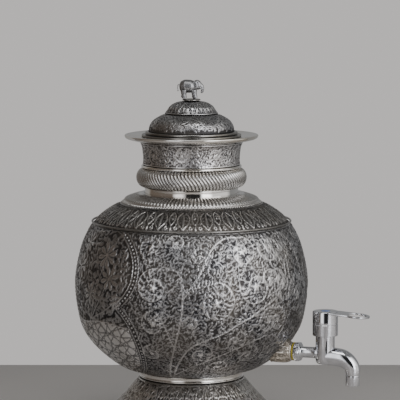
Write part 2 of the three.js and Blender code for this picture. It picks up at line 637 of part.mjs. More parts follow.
function makeHandle(screwBore) {
  const socketTop = spindleTop + GAP;
  const skirt = turn([
    [0, skirtBottom], [SKIRT_R, skirtBottom], [SKIRT_R, skirtTop - 0.8], [SKIRT_R - 0.8, skirtTop], [0, skirtTop],
  ], 28);
  const inside = turn([
    [0, skirtBottom - 1], [SKIRT_R - SKIRT_WALL, skirtBottom - 1], [SKIRT_R - SKIRT_WALL, hubFloor - 6],
    [0, hubFloor - 6],
  ], 28);
  const boss = rod(SPINDLE_R + 3.5, cartridgeTop + SKIRT_CLEARANCE, hubFloor);
  const spindleSocket = rod(SPINDLE_R + GAP, cartridgeTop, socketTop);
  const screwHole = rod(screwBore, socketTop - 1, skirtTop + 1);
  const capPocket = rod(INDEX_CAP_R, skirtTop - 1.4, skirtTop + 1);
  const headPocket = rod(4, skirtTop - 3.4, skirtTop + 1);
  const plate = leverPlate().translate(0, 0, skirtTop - 0.05);
  const solid = toSolid(skirt).subtract(toSolid(inside)).add(toSolid(boss)).add(toSolid(plate))
    .subtract(toSolid(spindleSocket)).subtract(toSolid(screwHole))
    .subtract(toSolid(capPocket)).subtract(toSolid(headPocket));
  add('tap_lever', toGeometry(solid).translate(tapX, 0, 0), CHROME);

  const headBottom = skirtTop - 3.4 + GAP;
  add('handle_screw', onTapCentre([
    [0, spindleTop - 8], [HANDLE_SCREW_R, spindleTop - 8], [HANDLE_SCREW_R, headBottom],
    [3.6, headBottom], [3.6, headBottom + 1.3], [0, headBottom + 1.3],
  ], 12), STEEL);
  add('index_cap', onTapCentre([
    [0, skirtTop - 1.4 + GAP], [INDEX_CAP_R - GAP, skirtTop - 1.4 + GAP], [INDEX_CAP_R - GAP, skirtTop],
    [INDEX_CAP_R - 1.5, skirtTop + 0.5], [0, skirtTop + 0.7],
  ], 16), INDEX);
}

makeHandle(makeHeadwork());

export default part;
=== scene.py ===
import math
import random

import bpy
import numpy as np
from mathutils import Matrix, Vector


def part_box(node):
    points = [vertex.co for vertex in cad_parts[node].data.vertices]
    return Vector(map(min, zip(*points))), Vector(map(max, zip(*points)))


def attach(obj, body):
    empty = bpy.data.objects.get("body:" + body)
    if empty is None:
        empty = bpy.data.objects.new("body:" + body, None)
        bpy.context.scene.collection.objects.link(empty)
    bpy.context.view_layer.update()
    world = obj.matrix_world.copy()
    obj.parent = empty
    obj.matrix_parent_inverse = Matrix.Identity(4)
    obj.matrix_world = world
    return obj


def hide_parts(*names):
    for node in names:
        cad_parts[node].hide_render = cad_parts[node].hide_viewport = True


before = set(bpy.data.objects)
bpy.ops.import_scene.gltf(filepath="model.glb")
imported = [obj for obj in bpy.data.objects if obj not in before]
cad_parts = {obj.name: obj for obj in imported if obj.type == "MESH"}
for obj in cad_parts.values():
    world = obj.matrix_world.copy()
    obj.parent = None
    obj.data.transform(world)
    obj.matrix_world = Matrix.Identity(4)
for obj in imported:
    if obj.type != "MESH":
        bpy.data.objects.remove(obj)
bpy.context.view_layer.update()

MM = 0.001  # every size below is in millimetres and becomes metres when a mesh is made

# ---- Camera -------------------------------------------------------------------------------------
# A long lens a few metres off, at the height of the pot's neck and a little to the tap's side, so that
# the tap stands to the right and the round figured panel on the body turns away to the left.

view_turn = math.radians(20)
view_tip = math.radians(6.4)
to_right = Vector((math.cos(view_turn), math.sin(view_turn), 0))
to_camera = Vector((math.sin(view_turn) * math.cos(view_tip),
                    -math.cos(view_turn) * math.cos(view_tip), math.sin(view_tip)))
aim_height, aim_aside = 318.5, 12.2
camera_distance = 3.718  # metres
aim = Vector((0, 0, aim_height * MM)) + aim_aside * MM * to_right
camera = bpy.data.objects.new("camera", bpy.data.cameras.new("camera"))
camera.data.lens = 234
camera.data.sensor_width = 36
camera.data.clip_end = 50
camera.location = aim + camera_distance * to_camera
camera.rotation_euler = to_camera.to_track_quat("Z", "Y").to_euler()
bpy.context.scene.collection.objects.link(camera)
bpy.context.scene.camera = camera

# ---- Foot rim -----------------------------------------------------------------------------------
# A heavy half-round wire of silver soldered round the bottom edge of the foot and burnished bright.
# The pot stands on it, and the felt and the base plate are let in behind it.


def size_of(node):
    """Radius, bottom and top of a round CAD node, in millimetres."""
    low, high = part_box(node)
    return (high[1] - low[1]) / 2 / MM, low[2] / MM, high[2] / MM


def arc(centre, radii, start, end, steps):
    """Points of an arc in the (radius, height) plane; angles in degrees from straight outward."""
    angles = np.radians(np.linspace(start, end, steps + 1))
    return [(centre[0] + radii[0] * math.cos(a), centre[1] + radii[1] * math.sin(a)) for a in angles]


def through(points, count):
    """A smooth curve through a few points, evenly stepped along its length."""
    points = np.array(points, float)
    ends = np.vstack([2 * points[0] - points[1], points, 2 * points[-1] - points[-2]])
    fine = []
    for k in range(len(points) - 1):
        a, b, c, d = ends[k:k + 4]
        for t in np.linspace(0, 1, 24, endpoint=False):
            fine.append(b + 0.5 * t * (c - a + t * (2 * a - 5 * b + 4 * c - d + t * (3 * (b - c) + d - a))))
    fine = np.array(fine + [points[-1]])
    along = np.concatenate([[0], np.cumsum(np.linalg.norm(np.diff(fine, axis=0), axis=1))])
    even = np.linspace(0, along[-1], count)
    return np.column_stack([np.interp(even, along, fine[:, n]) for n in range(fine.shape[1])])


def eased(outline, ease=0.5, steps=3):
    """The same closed outline with each corner rounded and a support point beside each rounding."""
    corners = np.array(outline, float)
    made = []
    for before, here, after in zip(np.roll(corners, 1, 0), corners, np.roll(corners, -1, 0)):
        back, on = before - here, after - here
        lengths = np.linalg.norm(back), np.linalg.norm(on)
        back, on = back / lengths[0], on / lengths[1]
        bend = math.pi - math.acos(max(-1, min(1, float(back @ on))))
        if bend < 0.35:
            made.append(here)
            continue
        room = min(ease, 0.3 * lengths[0], 0.3 * lengths[1])
        made.append(here + back * room * 1.5)
        for t in np.linspace(0, 1, steps + 1):
            made.append(here + back * room * (1 - t) ** 2 + on * room * t ** 2)
        made.append(here + on * room * 1.5)
    return made


def mesh_piece(name, points, faces, finish, body, crease=None):
    """A mesh object from millimetre points, shaded smooth, in its finish and riding on its body."""
    mesh = bpy.data.meshes.new(name)
    mesh.from_pydata((np.asarray(points, float) * MM).tolist(), [], faces)
    mesh.shade_smooth()
    if crease:
        mesh.set_sharp_from_angle(angle=math.radians(crease))
    piece = bpy.data.objects.new(name, mesh)
    bpy.context.scene.collection.objects.link(piece)
    if finish:
        mesh.materials.append(finish)
    if body:
        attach(piece, body)
    return piece


def turned(name, outline, around, finish, body="pot", lift=None, place=None, crease=None, facing=None):
    """An outline of (radius, height) points turned round the axis. It runs anticlockwise, and either
    closes on itself or starts and ends on the axis. lift raises the first rows, square to the outline
    or the way facing says."""
    outline = np.array(outline, float)
    solid = outline[0, 0] == 0
    step = np.roll(outline, -1, 0) - np.roll(outline, 1, 0)
    if solid:
        step[0], step[-1] = (1, 0), (-1, 0)
    step /= np.linalg.norm(step, axis=1)[:, None]
    square = np.column_stack([step[:, 1], -step[:, 0]])
    if facing is not None:
        square[:len(facing)] = facing
    rise = np.zeros((len(outline), around))
    if lift is not None:
        rise[:len(lift)] = lift
    angle = np.arange(around) * 2 * math.pi / around
    radius = outline[:, :1] + square[:, :1] * rise
    height = outline[:, 1:] + square[:, 1:] * rise
    points = np.stack([radius * np.cos(angle), radius * np.sin(angle), height + 0 * angle], axis=2)
    number = np.arange(len(outline) * around).reshape(len(outline), around)
    rows = number[1:-1] if solid else np.vstack([number, number[:1]])
    lower, upper = rows[:-1], rows[1:]
    quads = np.stack([lower, np.roll(lower, -1, 1), np.roll(upper, -1, 1), upper], axis=2).reshape(-1, 4)
    faces = quads.tolist()
    points = points.reshape(-1, 3)
    if solid:
        first, last = number[0, 0], number[-1, 0]
        for row, pole, turn_over in ((rows[0], first, True), (rows[-1], last, False)):
            for a, b in zip(row.tolist(), np.roll(row, -1).tolist()):
                faces.append([b, a, int(pole)] if turn_over else [a, b, int(pole)])
        used = np.ones(len(points), bool)
        used[number[0, 1:]] = False
        used[number[-1, 1:]] = False
        renumber = np.cumsum(used) - 1
        points = points[used]
        faces = [[int(renumber[v]) for v in face] for face in faces]
    if place is not None:
        turned_points = np.array(place) @ np.column_stack([points, np.ones(len(points))]).T
        points = turned_points.T[:, :3]
    return mesh_piece(name, points, faces, finish, body, crease)


class Run:
    """A value or colour running through a material's nodes. Sums on it add Math nodes."""

    def __init__(self, tree, socket=None):
        self.tree = tree
        self.socket = socket

    def node(self, kind, settings=None, inputs=None, output=0):
        made = self.tree.nodes.new(kind)
        for name, value in (settings or {}).items():
            if name == "stops":
                stops = made.color_ramp.elements
                stops[0].color = (*value[0][1], 1)
                stops[-1].color = (*value[-1][1], 1)
                for place, colour in value[1:-1]:
                    stops.new(place).color = (*colour, 1)
            else:
                setattr(made, name, value)
        for name, value in (inputs or {}).items():
            if isinstance(value, Run):
                self.tree.links.new(value.socket, made.inputs[name])
            else:
                made.inputs[name].default_value = value
        return Run(self.tree, made.outputs[output])

    def sum(self, operation, first, second):
        return self.node("ShaderNodeMath", {"operation": operation}, {0: first, 1: second})

    def __add__(self, other):
        return self.sum("ADD", self, other)

    def __sub__(self, other):
        return self.sum("SUBTRACT", self, other)

    def __rsub__(self, other):
        return self.sum("SUBTRACT", other, self)

    def __mul__(self, other):
        return self.sum("MULTIPLY", self, other)

    def spread(self, low, high, to_low=0.0, to_high=1.0):
        """This value carried from one range to another, and kept inside it."""
        inputs = {"Value": self, "From Min": low, "From Max": high, "To Min": to_low, "To Max": to_high}
        return self.node("ShaderNodeMapRange", {"clamp": True}, inputs)

    def mix(self, dark, light):
        """A colour from dark at 0 to light at 1."""
        full = [(*c, 1) if isinstance(c, tuple) else c for c in (dark, light)]
        return self.node("ShaderNodeMix", {"data_type": "RGBA"}, {0: self, 6: full[0], 7: full[1]}, 2)

    def noise(self, per_metre, detail=2.0, rough=0.5):
        place = self.node("ShaderNodeTexCoord", output=3)
        inputs = {"Vector": place, "Scale": per_metre, "Detail": detail, "Roughness": rough}
        return self.node("ShaderNodeTexNoise", None, inputs)


def new_finish(name, metallic=1.0, **plain):
    """A new material, the run that builds on it, and the function that joins runs to its shader."""
    material = bpy.data.materials.new(name)
    material.use_nodes = True
    shader = material.node_tree.nodes["Principled BSDF"]
    shader.inputs["Metallic"].default_value = metallic
    for socket, value in plain.items():
        shader.inputs[socket.replace("_", " ")].default_value = value
    start = Run(material.node_tree)

    def join(**runs):
        for socket, run in runs.items():
            start.tree.links.new(run.socket, shader.inputs[socket.replace("_", " ")])

    return material, start, join


def bumped(run, height, strength, distance):
    inputs = {"Height": height, "Strength": strength, "Distance": distance * MM}
    return run.node("ShaderNodeBump", None, inputs)


# Burnished silver: nearly a mirror, with hand-rubbed haze, hairline scratches and faint warm tarnish.
polished_silver, run, join = new_finish("polished_silver")
tarnish = run.noise(14, 3).spread(0.45, 0.75)
rubbing = run.noise(60, 4)
hairlines = run.noise(900, 2)
join(Base_Color=tarnish.mix((0.86, 0.845, 0.82), (0.72, 0.66, 0.56)),
     Roughness=rubbing.spread(0.3, 0.7, 0.035, 0.085) + tarnish * 0.03,
     Normal=bumped(run, rubbing + hairlines * 0.15, 0.25, 0.25))

radius, bottom, top = size_of("foot_rim")
rim_width = 7.5
rim_bulge = arc((radius - 2.5, (bottom + top) / 2), (2.5, (top - bottom) / 2), -84, 84, 12)
foot_rim = turned("foot_rim_wire", [(radius - rim_width, bottom), (radius - 3, bottom), *rim_bulge,
                                    (radius - 3, top), (radius - rim_width, top)], 240, polished_silver,
                  crease=50)
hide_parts("foot_rim")

# ---- Foot ---------------------------------------------------------------------------------------
# A flaring skirt of sheet silver. Upright pointed leaves are chased round it from the outside against
# pitch, with small curls between them, and the sunk ground is left dark with old tarnish.


class Chasing:
    """The worked face of one shell. Rows run along its outline and columns round it, and the height of
    each crossing above the sunk ground is raised by strokes of the punch."""

    def __init__(self, outline, around):
        self.line = np.array(outline, float)
        steps = np.linalg.norm(np.diff(self.line, axis=0), axis=1)
        self.up = np.concatenate([[0], np.cumsum(steps)])
        self.around = around
        self.pitch = 2 * math.pi / around
        self.turn = np.arange(around) * self.pitch
        self.height = np.zeros((len(self.line), around), np.float32)
        self.grid = self.at(self.turn[None, :] + 0 * self.up[:, None], self.up[:, None] + 0 * self.turn)

    def radius(self, up):
        return np.interp(up, self.up, self.line[:, 0])

    def at(self, turn, up):
        radius = self.radius(up)
        height = np.interp(up, self.up, self.line[:, 1])
        places = np.stack([radius * np.cos(turn), radius * np.sin(turn), height], axis=-1)
        return places.astype(np.float32)

    def stroke(self, turn, up, width, rise, vein=0.0):
        """One raised line through points (turn, up) with half-widths; vein sinks its middle."""
        turn, up, width = (np.atleast_1d(np.asarray(x, float)) for x in (turn, up, width))
        places = self.at(turn, up)
        for k in range(0, max(len(turn) - 1, 1), 6):
            part = slice(k, min(k + 7, len(turn)))
            reach = width[part].max()
            low, high = np.searchsorted(self.up, (up[part].min() - reach, up[part].max() + reach))
            side = reach / max(self.radius(up[part]).min(), 1)
            first = math.floor((turn[part].min() - side) / self.pitch)
            last = math.ceil((turn[part].max() + side) / self.pitch)
            columns = np.arange(first, last + 1) % self.around
            if high <= low:
                continue
            window = self.grid[low:high][:, columns]
            start = places[part][:-1] if len(turn) > 1 else places
            end = places[part][1:] if len(turn) > 1 else places
            wide = width[part]
            from_wide = wide[:-1] if len(turn) > 1 else wide
            to_wide = wide[1:] if len(turn) > 1 else wide
            along = end - start
            length = np.maximum((along ** 2).sum(1), 1e-6)
            offset = window[None] - start[:, None, None]
            share = np.clip((offset * along[:, None, None]).sum(3) / length[:, None, None], 0, 1)
            gap = np.linalg.norm(offset - share[..., None] * along[:, None, None], axis=3)
            across = from_wide[:, None, None] * (1 - share) + to_wide[:, None, None] * share
            ratio = (gap / np.maximum(across, 0.05)).min(0)
            raised = rise * np.sqrt(np.clip(1 - ratio ** 2, 0, 1))
            raised *= 1 - vein * np.exp(-(ratio / 0.28) ** 2)
            old = self.height[low:high][:, columns]
            self.height[low:high, columns] = np.maximum(old, raised)

    def ring(self, up, width, rise, points=241):
        """A raised line all the way round."""
        all_round = np.linspace(0, 2 * math.pi, points)
        self.stroke(all_round, np.full(points, up), np.full(points, width), rise)

    def leaf(self, turn, up, heading, length, width, curl, rise, vein=0.3):
        """A curled leaf from one point. heading is 0 to the right and a quarter turn for straight up."""
        share = np.linspace(0, 1, 6)
        way = heading + curl * share
        step = length / 5
        x = np.concatenate([[0], np.cumsum(np.cos(way[:-1]) * step)])
        y = np.concatenate([[0], np.cumsum(np.sin(way[:-1]) * step)])
        shape = np.array([0.35, 0.85, 1, 0.85, 0.55, 0.15]) * width
        self.stroke(turn + x / self.radius(up + y), up + y, shape, rise, vein)

    def is_ground(self, turn, up, below=0.12):
        row = min(np.searchsorted(self.up, up), len(self.up) - 1)
        column = int(round(turn / self.pitch)) % self.around
        return self.height[row, column] < below

    def fill(self, draw, turns, ups, tries, length, width, rise, allowed=None):
        """Small curled leaves wherever the ground is still bare."""
        for _ in range(tries):
            turn, up = draw.uniform(*turns), draw.uniform(*ups)
            heading = draw.uniform(0, 2 * math.pi)
            curl = draw.choice((-1, 1)) * draw.uniform(0.8, 2.6)
            size = draw.uniform(0.7, 1.2)
            if allowed and not allowed(turn, up):
                continue
            middle = 0.5 * length * size
            far_turn = turn + middle * math.cos(heading + curl / 3) / max(self.radius(up), 1)
            far_up = up + middle * math.sin(heading + curl / 3)
            if self.is_ground(turn, up) and self.is_ground(far_turn, far_up):
                stands = rise * draw.uniform(0.6, 1)
                self.leaf(turn, up, heading, length * size, width * size, curl, stands)

    def spiral(self, turn, up, radius, start, sweep, width, rise, leaves=True):
        """A scroll: a stem winding inward from its outer ring to a small flower."""
        share = np.linspace(0, 1, 44)
        inward = radius * (1 - 0.68 * share ** 0.9)
        angle = start + 0.82 * sweep * share
        y = up + inward * np.sin(angle)
        x = turn + inward * np.cos(angle) / self.radius(y)
        self.stroke(x, y, width * (1 - 0.35 * share), rise, 0.5)
        way = math.copysign(1, sweep)
        draw = random.Random(round(1000 * (turn + up)))
        k = 1
        while leaves and k < 42:
            out = angle[k] + way * math.pi / 2
            side = draw.choice((1, 1, -1))
            grow = radius * draw.uniform(0.28, 0.5) * (1 - 0.45 * share[k]) * (1 if side > 0 else 0.55)
            heading = out + side * way * draw.uniform(0.3, 0.9)
            curl = side * way * draw.uniform(0.9, 2.4)
            stands = rise * draw.uniform(0.75, 1.0)
            self.leaf(x[k], y[k], heading, grow + 2.2, 0.13 * grow + 0.7, curl, stands, 0.45)
            k += draw.choice((1, 2))
        for k in range(5):
            self.leaf(turn, up, k * 1.257 + start, 0.26 * radius, 0.08 * radius + 0.3, 0.5, rise)
        self.stroke([turn], [up], [0.06 * radius + 0.5], rise * 1.1)


def give_tone(piece, chasing, depth):
    """Writes how high each point stands above the ground, for the finish to read."""
    tone = np.zeros(len(piece.data.vertices), np.float32)
    flat = np.clip(chasing.height / depth, 0, 1).ravel()
    tone[:len(flat)] = flat
    piece.data.attributes.new("worked", "FLOAT", "POINT").data.foreach_set("value", tone)


def work(name, chasing, depth, inner, finish, roughness=0.1):
    """The chased shell itself: its face with the worked heights, closed by an inner face."""
    grain = np.random.default_rng(1).normal(0, 1, chasing.height.shape).astype(np.float32)
    bare = np.clip(1 - chasing.height / (0.4 * depth), 0, 1)
    lift = chasing.height + grain * roughness * bare - depth
    piece = turned(name, np.vstack([chasing.line, inner]), chasing.around, finish, lift=lift)
    give_tone(piece, chasing, depth)
    return piece


def inner_face(outline, thickness, rows):
    """The inside of a shell, from its top back down, as fewer rows."""
    line = np.array(outline, float)
    step = np.gradient(line, axis=0)
    step /= np.linalg.norm(step, axis=1)[:, None]
    inside = line + np.column_stack([-step[:, 1], step[:, 0]]) * thickness
    keep = np.linspace(len(line) - 1, 0, rows).round().astype(int)
    return inside[keep]


# Chased silver: bright worn high points over a matt ground blackened by tarnish.
def chased_finish(name, dark, mid, bright, warm):
    material, run, join = new_finish(name)
    worked = run.node("ShaderNodeAttribute", {"attribute_name": "worked"}, output=2)
    stain = run.noise(22, 3).spread(0.35, 0.75)
    punch = run.noise(1300, 2)
    wear = (worked + (punch - 0.5) * 0.35 - stain * 0.08).spread(0.0, 1.0)
    half_way = tuple(0.5 * (a + b) for a, b in zip(dark, mid))
    stops = [(0.0, dark), (0.3, half_way), (0.62, mid), (1.0, bright)]
    colour = run.node("ShaderNodeValToRGB", {"stops": stops}, {"Fac": wear})
    tinted = (stain * 0.35).mix(colour, warm)
    join(Base_Color=tinted, Roughness=wear.spread(0, 1, 0.5, 0.16),
         Normal=bumped(run, punch * (1 - worked * 0.7), 0.5, 0.25))
    return material


chased_silver = chased_finish("chased_silver", (0.03, 0.03, 0.034), (0.42, 0.418, 0.425),
                              (0.95, 0.945, 0.94), (0.36, 0.32, 0.27))

radius, bottom, top = size_of("foot_shell")
ring_radius, ring_bottom, ring_top = size_of("foot_ring")
foot_neck = 74.5
spread = radius - foot_neck
flare = top - bottom
foot_line = through([(foot_neck + spread * out, top - flare * down) for out, down in
                     ((1, 1), (0.87, 0.82), (0.67, 0.625), (0.45, 0.44), (0.21, 0.205), (0, 0))], 56)
foot_depth = 0.9
foot_leaves = 40
foot_face = Chasing(foot_line, 640)
reach = foot_face.up[-1]
for k in range(foot_leaves):
    turn = k * 2 * math.pi / foot_leaves
    half = math.pi / foot_leaves
    for lean in (-1, 1):
        side = lean * half * np.array([0.1, 0.62, 0.86, 0.7, 0.0])
        up = reach * np.array([0.1, 0.28, 0.5, 0.72, 0.93])
        foot_face.stroke(turn + side, up, np.full(5, 0.9), foot_depth)
        for share in (0.2, 0.35, 0.5, 0.65):
            heading = math.pi / 2 - lean * 0.6
            foot_face.leaf(turn, reach * share, heading, 8, 1.3, -lean * 0.7, foot_depth * 0.85)
    foot_face.stroke([turn, turn], [reach * 0.1, reach * 0.85], [1.0, 0.6], foot_depth)
for share in (0.02, 0.075, 0.965):
    foot_face.ring(reach * share, 0.9, foot_depth, 181)
foot_face.fill(random.Random(3), (0, 2 * math.pi), (4, reach - 3), 5000, 6, 1.1, foot_depth)
foot_silver = chased_finish("foot_silver", (0.08, 0.077, 0.074), (0.7, 0.68, 0.66), (0.96, 0.94, 0.91),
                            (0.45, 0.39, 0.31))
foot = work("foot_flare", foot_face, foot_depth, inner_face(foot_line, 2, 8), foot_silver)
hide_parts("foot_shell")

# ---- Foot ring ----------------------------------------------------------------------------------
# A hollow-faced ring of burnished silver where the foot is soldered to the body: a wide band with a
# thin wire above and below it.

middle = (ring_bottom + ring_top) / 2
ring_height = ring_top - ring_bottom
hollow = [(ring_radius - 1.2 + 0.9 * ((z - 0.5) * 2) ** 2, ring_bottom + ring_height * z)
          for z in np.linspace(0.28, 0.74, 9)]
ring_outline = [(ring_radius - 5.5, ring_bottom),
                *arc((ring_radius - 1.1, ring_bottom + 1.1), (1.1, 1.1), -90, 70, 8),
                *hollow,
                *arc((ring_radius - 1.1, ring_top - 1.1), (1.1, 1.1), -70, 90, 8),
                (ring_radius - 5.5, ring_top)]
foot_ring = turned("foot_ring_band", ring_outline, 240, polished_silver, crease=50)
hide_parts("foot_ring")

# ---- Body ---------------------------------------------------------------------------------------
# The round belly is raised from sheet and chased all over with winding stems, curled leaves and small
# flowers, round two tall waisted panels with beaded edges. Above a ground line each panel holds a
# flowering bush, and below it a plain ground scored into a net of small plates.

belly, seam_height, body_top = size_of("body_upper")
body_bottom = size_of("body_lower")[1]
shoulder_radius, shoulder_bottom, shoulder_top = size_of("shoulder_shell")
body_height = body_top - body_bottom
body_depth = 1.5
side_points = [(foot_neck + 3, body_bottom), (0.605 * belly, body_bottom + 0.037 * body_height),
               (0.757 * belly, body_bottom + 0.122 * body_height),
               (0.888 * belly, body_bottom + 0.232 * body_height),
               (0.962 * belly, body_bottom + 0.36 * body_height),
               (belly, body_bottom + 0.6 * body_height),
               (0.948 * belly, body_bottom + 0.83 * body_height),
               (0.872 * belly, body_bottom + 0.968 * body_height), (shoulder_radius, body_top)]
body_rows = 200
body_around = 900
body_line = through(side_points, body_rows)
body_line[:, 0] = np.minimum(body_line[:, 0], belly)
body_face = Chasing(body_line, body_around)
body_reach = body_face.up[-1]
draw = random.Random(11)

panel_half = math.radians(30)
panel_turns = (math.radians(-130), math.radians(50))
lobes = ((203, 64), (92, 78))  # the middle and half-height of the upper and the lower lobe
panel_reach = 72  # a lobe's middling half-width
girth = 160  # a middling radius, by which lengths round the belly are turned into angles


def from_panel_edge(turn, up):
    """How far outside the nearer panel a point is, in millimetres; negative inside it."""
    nearest = 1e9
    for centre in panel_turns:
        x = (turn - centre + math.pi) % (2 * math.pi) - math.pi
        for middle_up, half_up in lobes:
            share = math.hypot(x / panel_half, (up - middle_up) / half_up)
            nearest = min(nearest, (share - 1) * panel_reach)
    return nearest


def lobe_edge(grown):
    """Points round each panel's edge, grown outward by some millimetres."""
    for centre in panel_turns:
        for (middle_up, half_up), (other_up, other_half) in (lobes, lobes[::-1]):
            half_turn = panel_half + grown / girth
            for angle in np.radians(np.arange(0, 360, 1.5)):
                turn = centre + half_turn * math.cos(angle)
                up = middle_up + (half_up + grown) * math.sin(angle)
                into_other = (up - other_up) / (other_half + grown)
                if math.hypot((turn - centre) / half_turn, into_other) > 1 and 1 < up < body_reach - 1:
                    yield turn, up


def bead_edge(grown, radius, rise, spacing):
    """A row of beads round each panel, one at every spacing."""
    last = None
    for turn, up in lobe_edge(grown):
        place = body_face.at(np.array(turn), np.array(up))
        if last is None or np.linalg.norm(place - last) >= spacing:
            body_face.stroke([turn], [up], [radius], rise)
            last = place


def stem(points, width):
    """A winding stem through (degrees, millimetres up) points, with leaves off both sides."""
    line = through([(math.radians(t) * girth, up) for t, up in points], 40)
    turns, ups = line[:, 0] / girth, line[:, 1]
    body_face.stroke(turns, ups, width * np.linspace(1, 0.7, 40), body_depth, 0.5)
    heading = np.arctan2(np.gradient(ups), np.gradient(turns) * body_face.radius(ups))
    for k in range(2, 38, 2):
        side = 1 if k % 4 else -1
        if body_face.is_ground(turns[k] + side * 3 * math.cos(heading[k] + side) / girth,
                               ups[k] + side * 3 * math.sin(heading[k] + side)):
            body_face.leaf(turns[k], ups[k], heading[k] + side * 0.8, draw.uniform(6, 9), 1.25,
                           side * draw.uniform(0.9, 2.0), body_depth * 0.9)


def scroll_tree(root, hand, squeeze=1.0):
    """The winding stems beside one panel: a trunk from the foot, its boughs and their scrolls."""
    def place(turn):
        return root + hand * (turn + 100) * squeeze

    stems = (
        (1.7, [(-89, 12), (-84, 50), (-79, 93), (-75, 139), (-74, 178), (-76, 204), (-82, 210)]),
        (1.6, [(-74, 168), (-70, 184), (-66, 202), (-62, 226), (-57, 244), (-50, 254), (-42, 253)]),
        (1.3, [(-74, 174), (-69, 182), (-63, 186), (-58, 190)]),
        (1.6, [(-84, 22), (-77, 66), (-71, 93), (-63, 107),
                (-54, 117), (-46, 130), (-38, 140), (-31, 141)]),
        (1.4, [(-86, 18), (-76, 40), (-64, 62), (-50, 84), (-38, 100), (-28, 110)]),
        (1.2, [(-79, 95), (-82, 120), (-85, 140), (-88, 149)]),
        (1.1, [(-45, 250), (-46, 215), (-46, 187)]),
        (1.3, [(-40, 138), (-33, 150), (-24, 165), (-17, 190), (-16, 215)]),
    )
    scrolls = (
        (-88.5, 183, 26, 60, 560), (-91, 240, 20, -60, -520), (-58, 161, 28, 90, -600),
        (-43, 232, 21, 80, -560), (-37, 181, 25, 160, 560), (-89, 131, 18, 90, 520),
        (-66, 226, 13, 0, 470), (-78, 246, 14, 200, -480), (-70, 132, 12, 200, -450),
        (-65, 82, 19, 120, -540), (-47, 103, 16, 60, -500), (-24, 236, 20, 200, 520),
        (-22, 130, 19, 120, -520), (-92, 82, 15, 90, 500), (-36, 75, 18, 110, -520),
        (-22, 190, 17, 220, -500), (-84, 50, 12, 200, 420), (-52, 52, 14, 150, -460),
    )
    for width, points in stems:
        stem([(place(turn), up) for turn, up in points], width)
    for turn, up, radius, start, sweep in scrolls:
        start, sweep = math.radians(start), math.radians(sweep)
        if hand < 0:
            start, sweep = math.pi - start, -sweep
        body_face.spiral(math.radians(place(turn)), up, 1.1 * radius, start, sweep, 1.05, body_depth)


# The panels' edges come first, so that nothing grows over them.
for grown, width in ((0, 1.1), (8.5, 1.1)):
    for turn, up in lobe_edge(grown):
        body_face.stroke([turn], [up], [width], body_depth)
bead_edge(4.3, 1.8, body_depth, 4.4)

scroll_tree(-100, 1)
scroll_tree(-160, -1, 0.8)
scroll_tree(20, -1, 0.62)
scroll_tree(80, 1, 0.8)

# The flowering bush: a few broad open flowers on stems, and lance leaves round them.
ground_up = 128
flowers = ((12, 222, 17), (16, 190, 15), (-8, 236, 14), (-12, 200, 17), (2, 165, 14), (-19, 166, 12),
           (20, 158, 9))  # degrees from the panel's middle, millimetres up, size
for centre in panel_turns:
    for x, up, size in flowers:
        turn = centre + math.radians(x)
        bend = (0.6 * turn + 0.4 * centre) * girth, 0.5 * (ground_up + up)
        stalk = through([(centre * girth, ground_up), bend, (turn * girth, up)], 20)
        body_face.stroke(stalk[:, 0] / girth, stalk[:, 1], np.full(20, 1.0), body_depth * 0.8)
        petals = 8
        for k in range(petals):
            angle = k * 2 * math.pi / petals + x
            out = size * np.array([0.15, 0.45, 0.75, 0.95])
            body_face.stroke(turn + out * math.cos(angle) / 162, up + out * math.sin(angle),
                             size * np.array([0.05, 0.14, 0.25, 0.2]), body_depth, 0.45)
        body_face.stroke([turn], [up], [size * 0.16], body_depth)
    body_face.fill(draw, (centre - panel_half, centre + panel_half), (ground_up - 2, body_reach - 2),
                   2800, 11, 1.9, body_depth * 0.9, lambda turn, up: from_panel_edge(turn, up) < -4)
    turns = np.linspace(centre - panel_half, centre + panel_half, 60)
    rolling = ground_up - 4 + 3 * np.sin((turns - centre) * 9)
    inside = [from_panel_edge(t, u) < 0 for t, u in zip(turns, rolling)]
    body_face.stroke(turns[inside], rolling[inside], np.full(sum(inside), 1.3), body_depth)

# The net below the ground line: plates stand high, and the scored lines between them are sunk.
turn_grid = body_face.turn[None, :] + 0 * body_face.up[:, None]
up_grid = body_face.up[:, None] + 0 * body_face.turn[None, :]
for centre in panel_turns:
    x = ((turn_grid - centre + math.pi) % (2 * math.pi) - math.pi)
    lower_up, lower_half = lobes[1]
    inside = (np.hypot(x / panel_half, (up_grid - lower_up) / lower_half) < 0.97) & (
        up_grid < 124 + 3 * np.sin(x * 9) - 1.5)
    flat_x = x * 150
    scored = np.ones_like(x)
    for tilt, spacing, phase in ((62, 13, 1), (-58, 13, 4), (4, 17, 7), (33, 23, 2), (-28, 23, 11)):
        slope = math.radians(tilt)
        across = flat_x * math.sin(slope) + up_grid * math.cos(slope) + phase
        wander = 1.2 * np.sin(up_grid * 0.21 + flat_x * 0.17 + phase)
        line = np.abs((across + wander + spacing / 2) % spacing - spacing / 2)
        scored = np.minimum(scored, np.clip(line / 1.1, 0.0, 1))
    plate = body_depth * (0.15 + 0.85 * scored)
    body_face.height[inside] = np.maximum(body_face.height[inside], plate[inside])

body_face.ring(2.0, 1.2, body_depth)
body_face.ring(body_reach - 0.4, 2.4, body_depth)
for length, width, rise in ((7.0, 1.15, 0.88), (3.8, 0.9, 0.72)):
    body_face.fill(draw, (0, 2 * math.pi), (4, body_reach - 2), 24000, length, width, body_depth * rise,
                   lambda turn, up: from_panel_edge(turn, up) > 9)

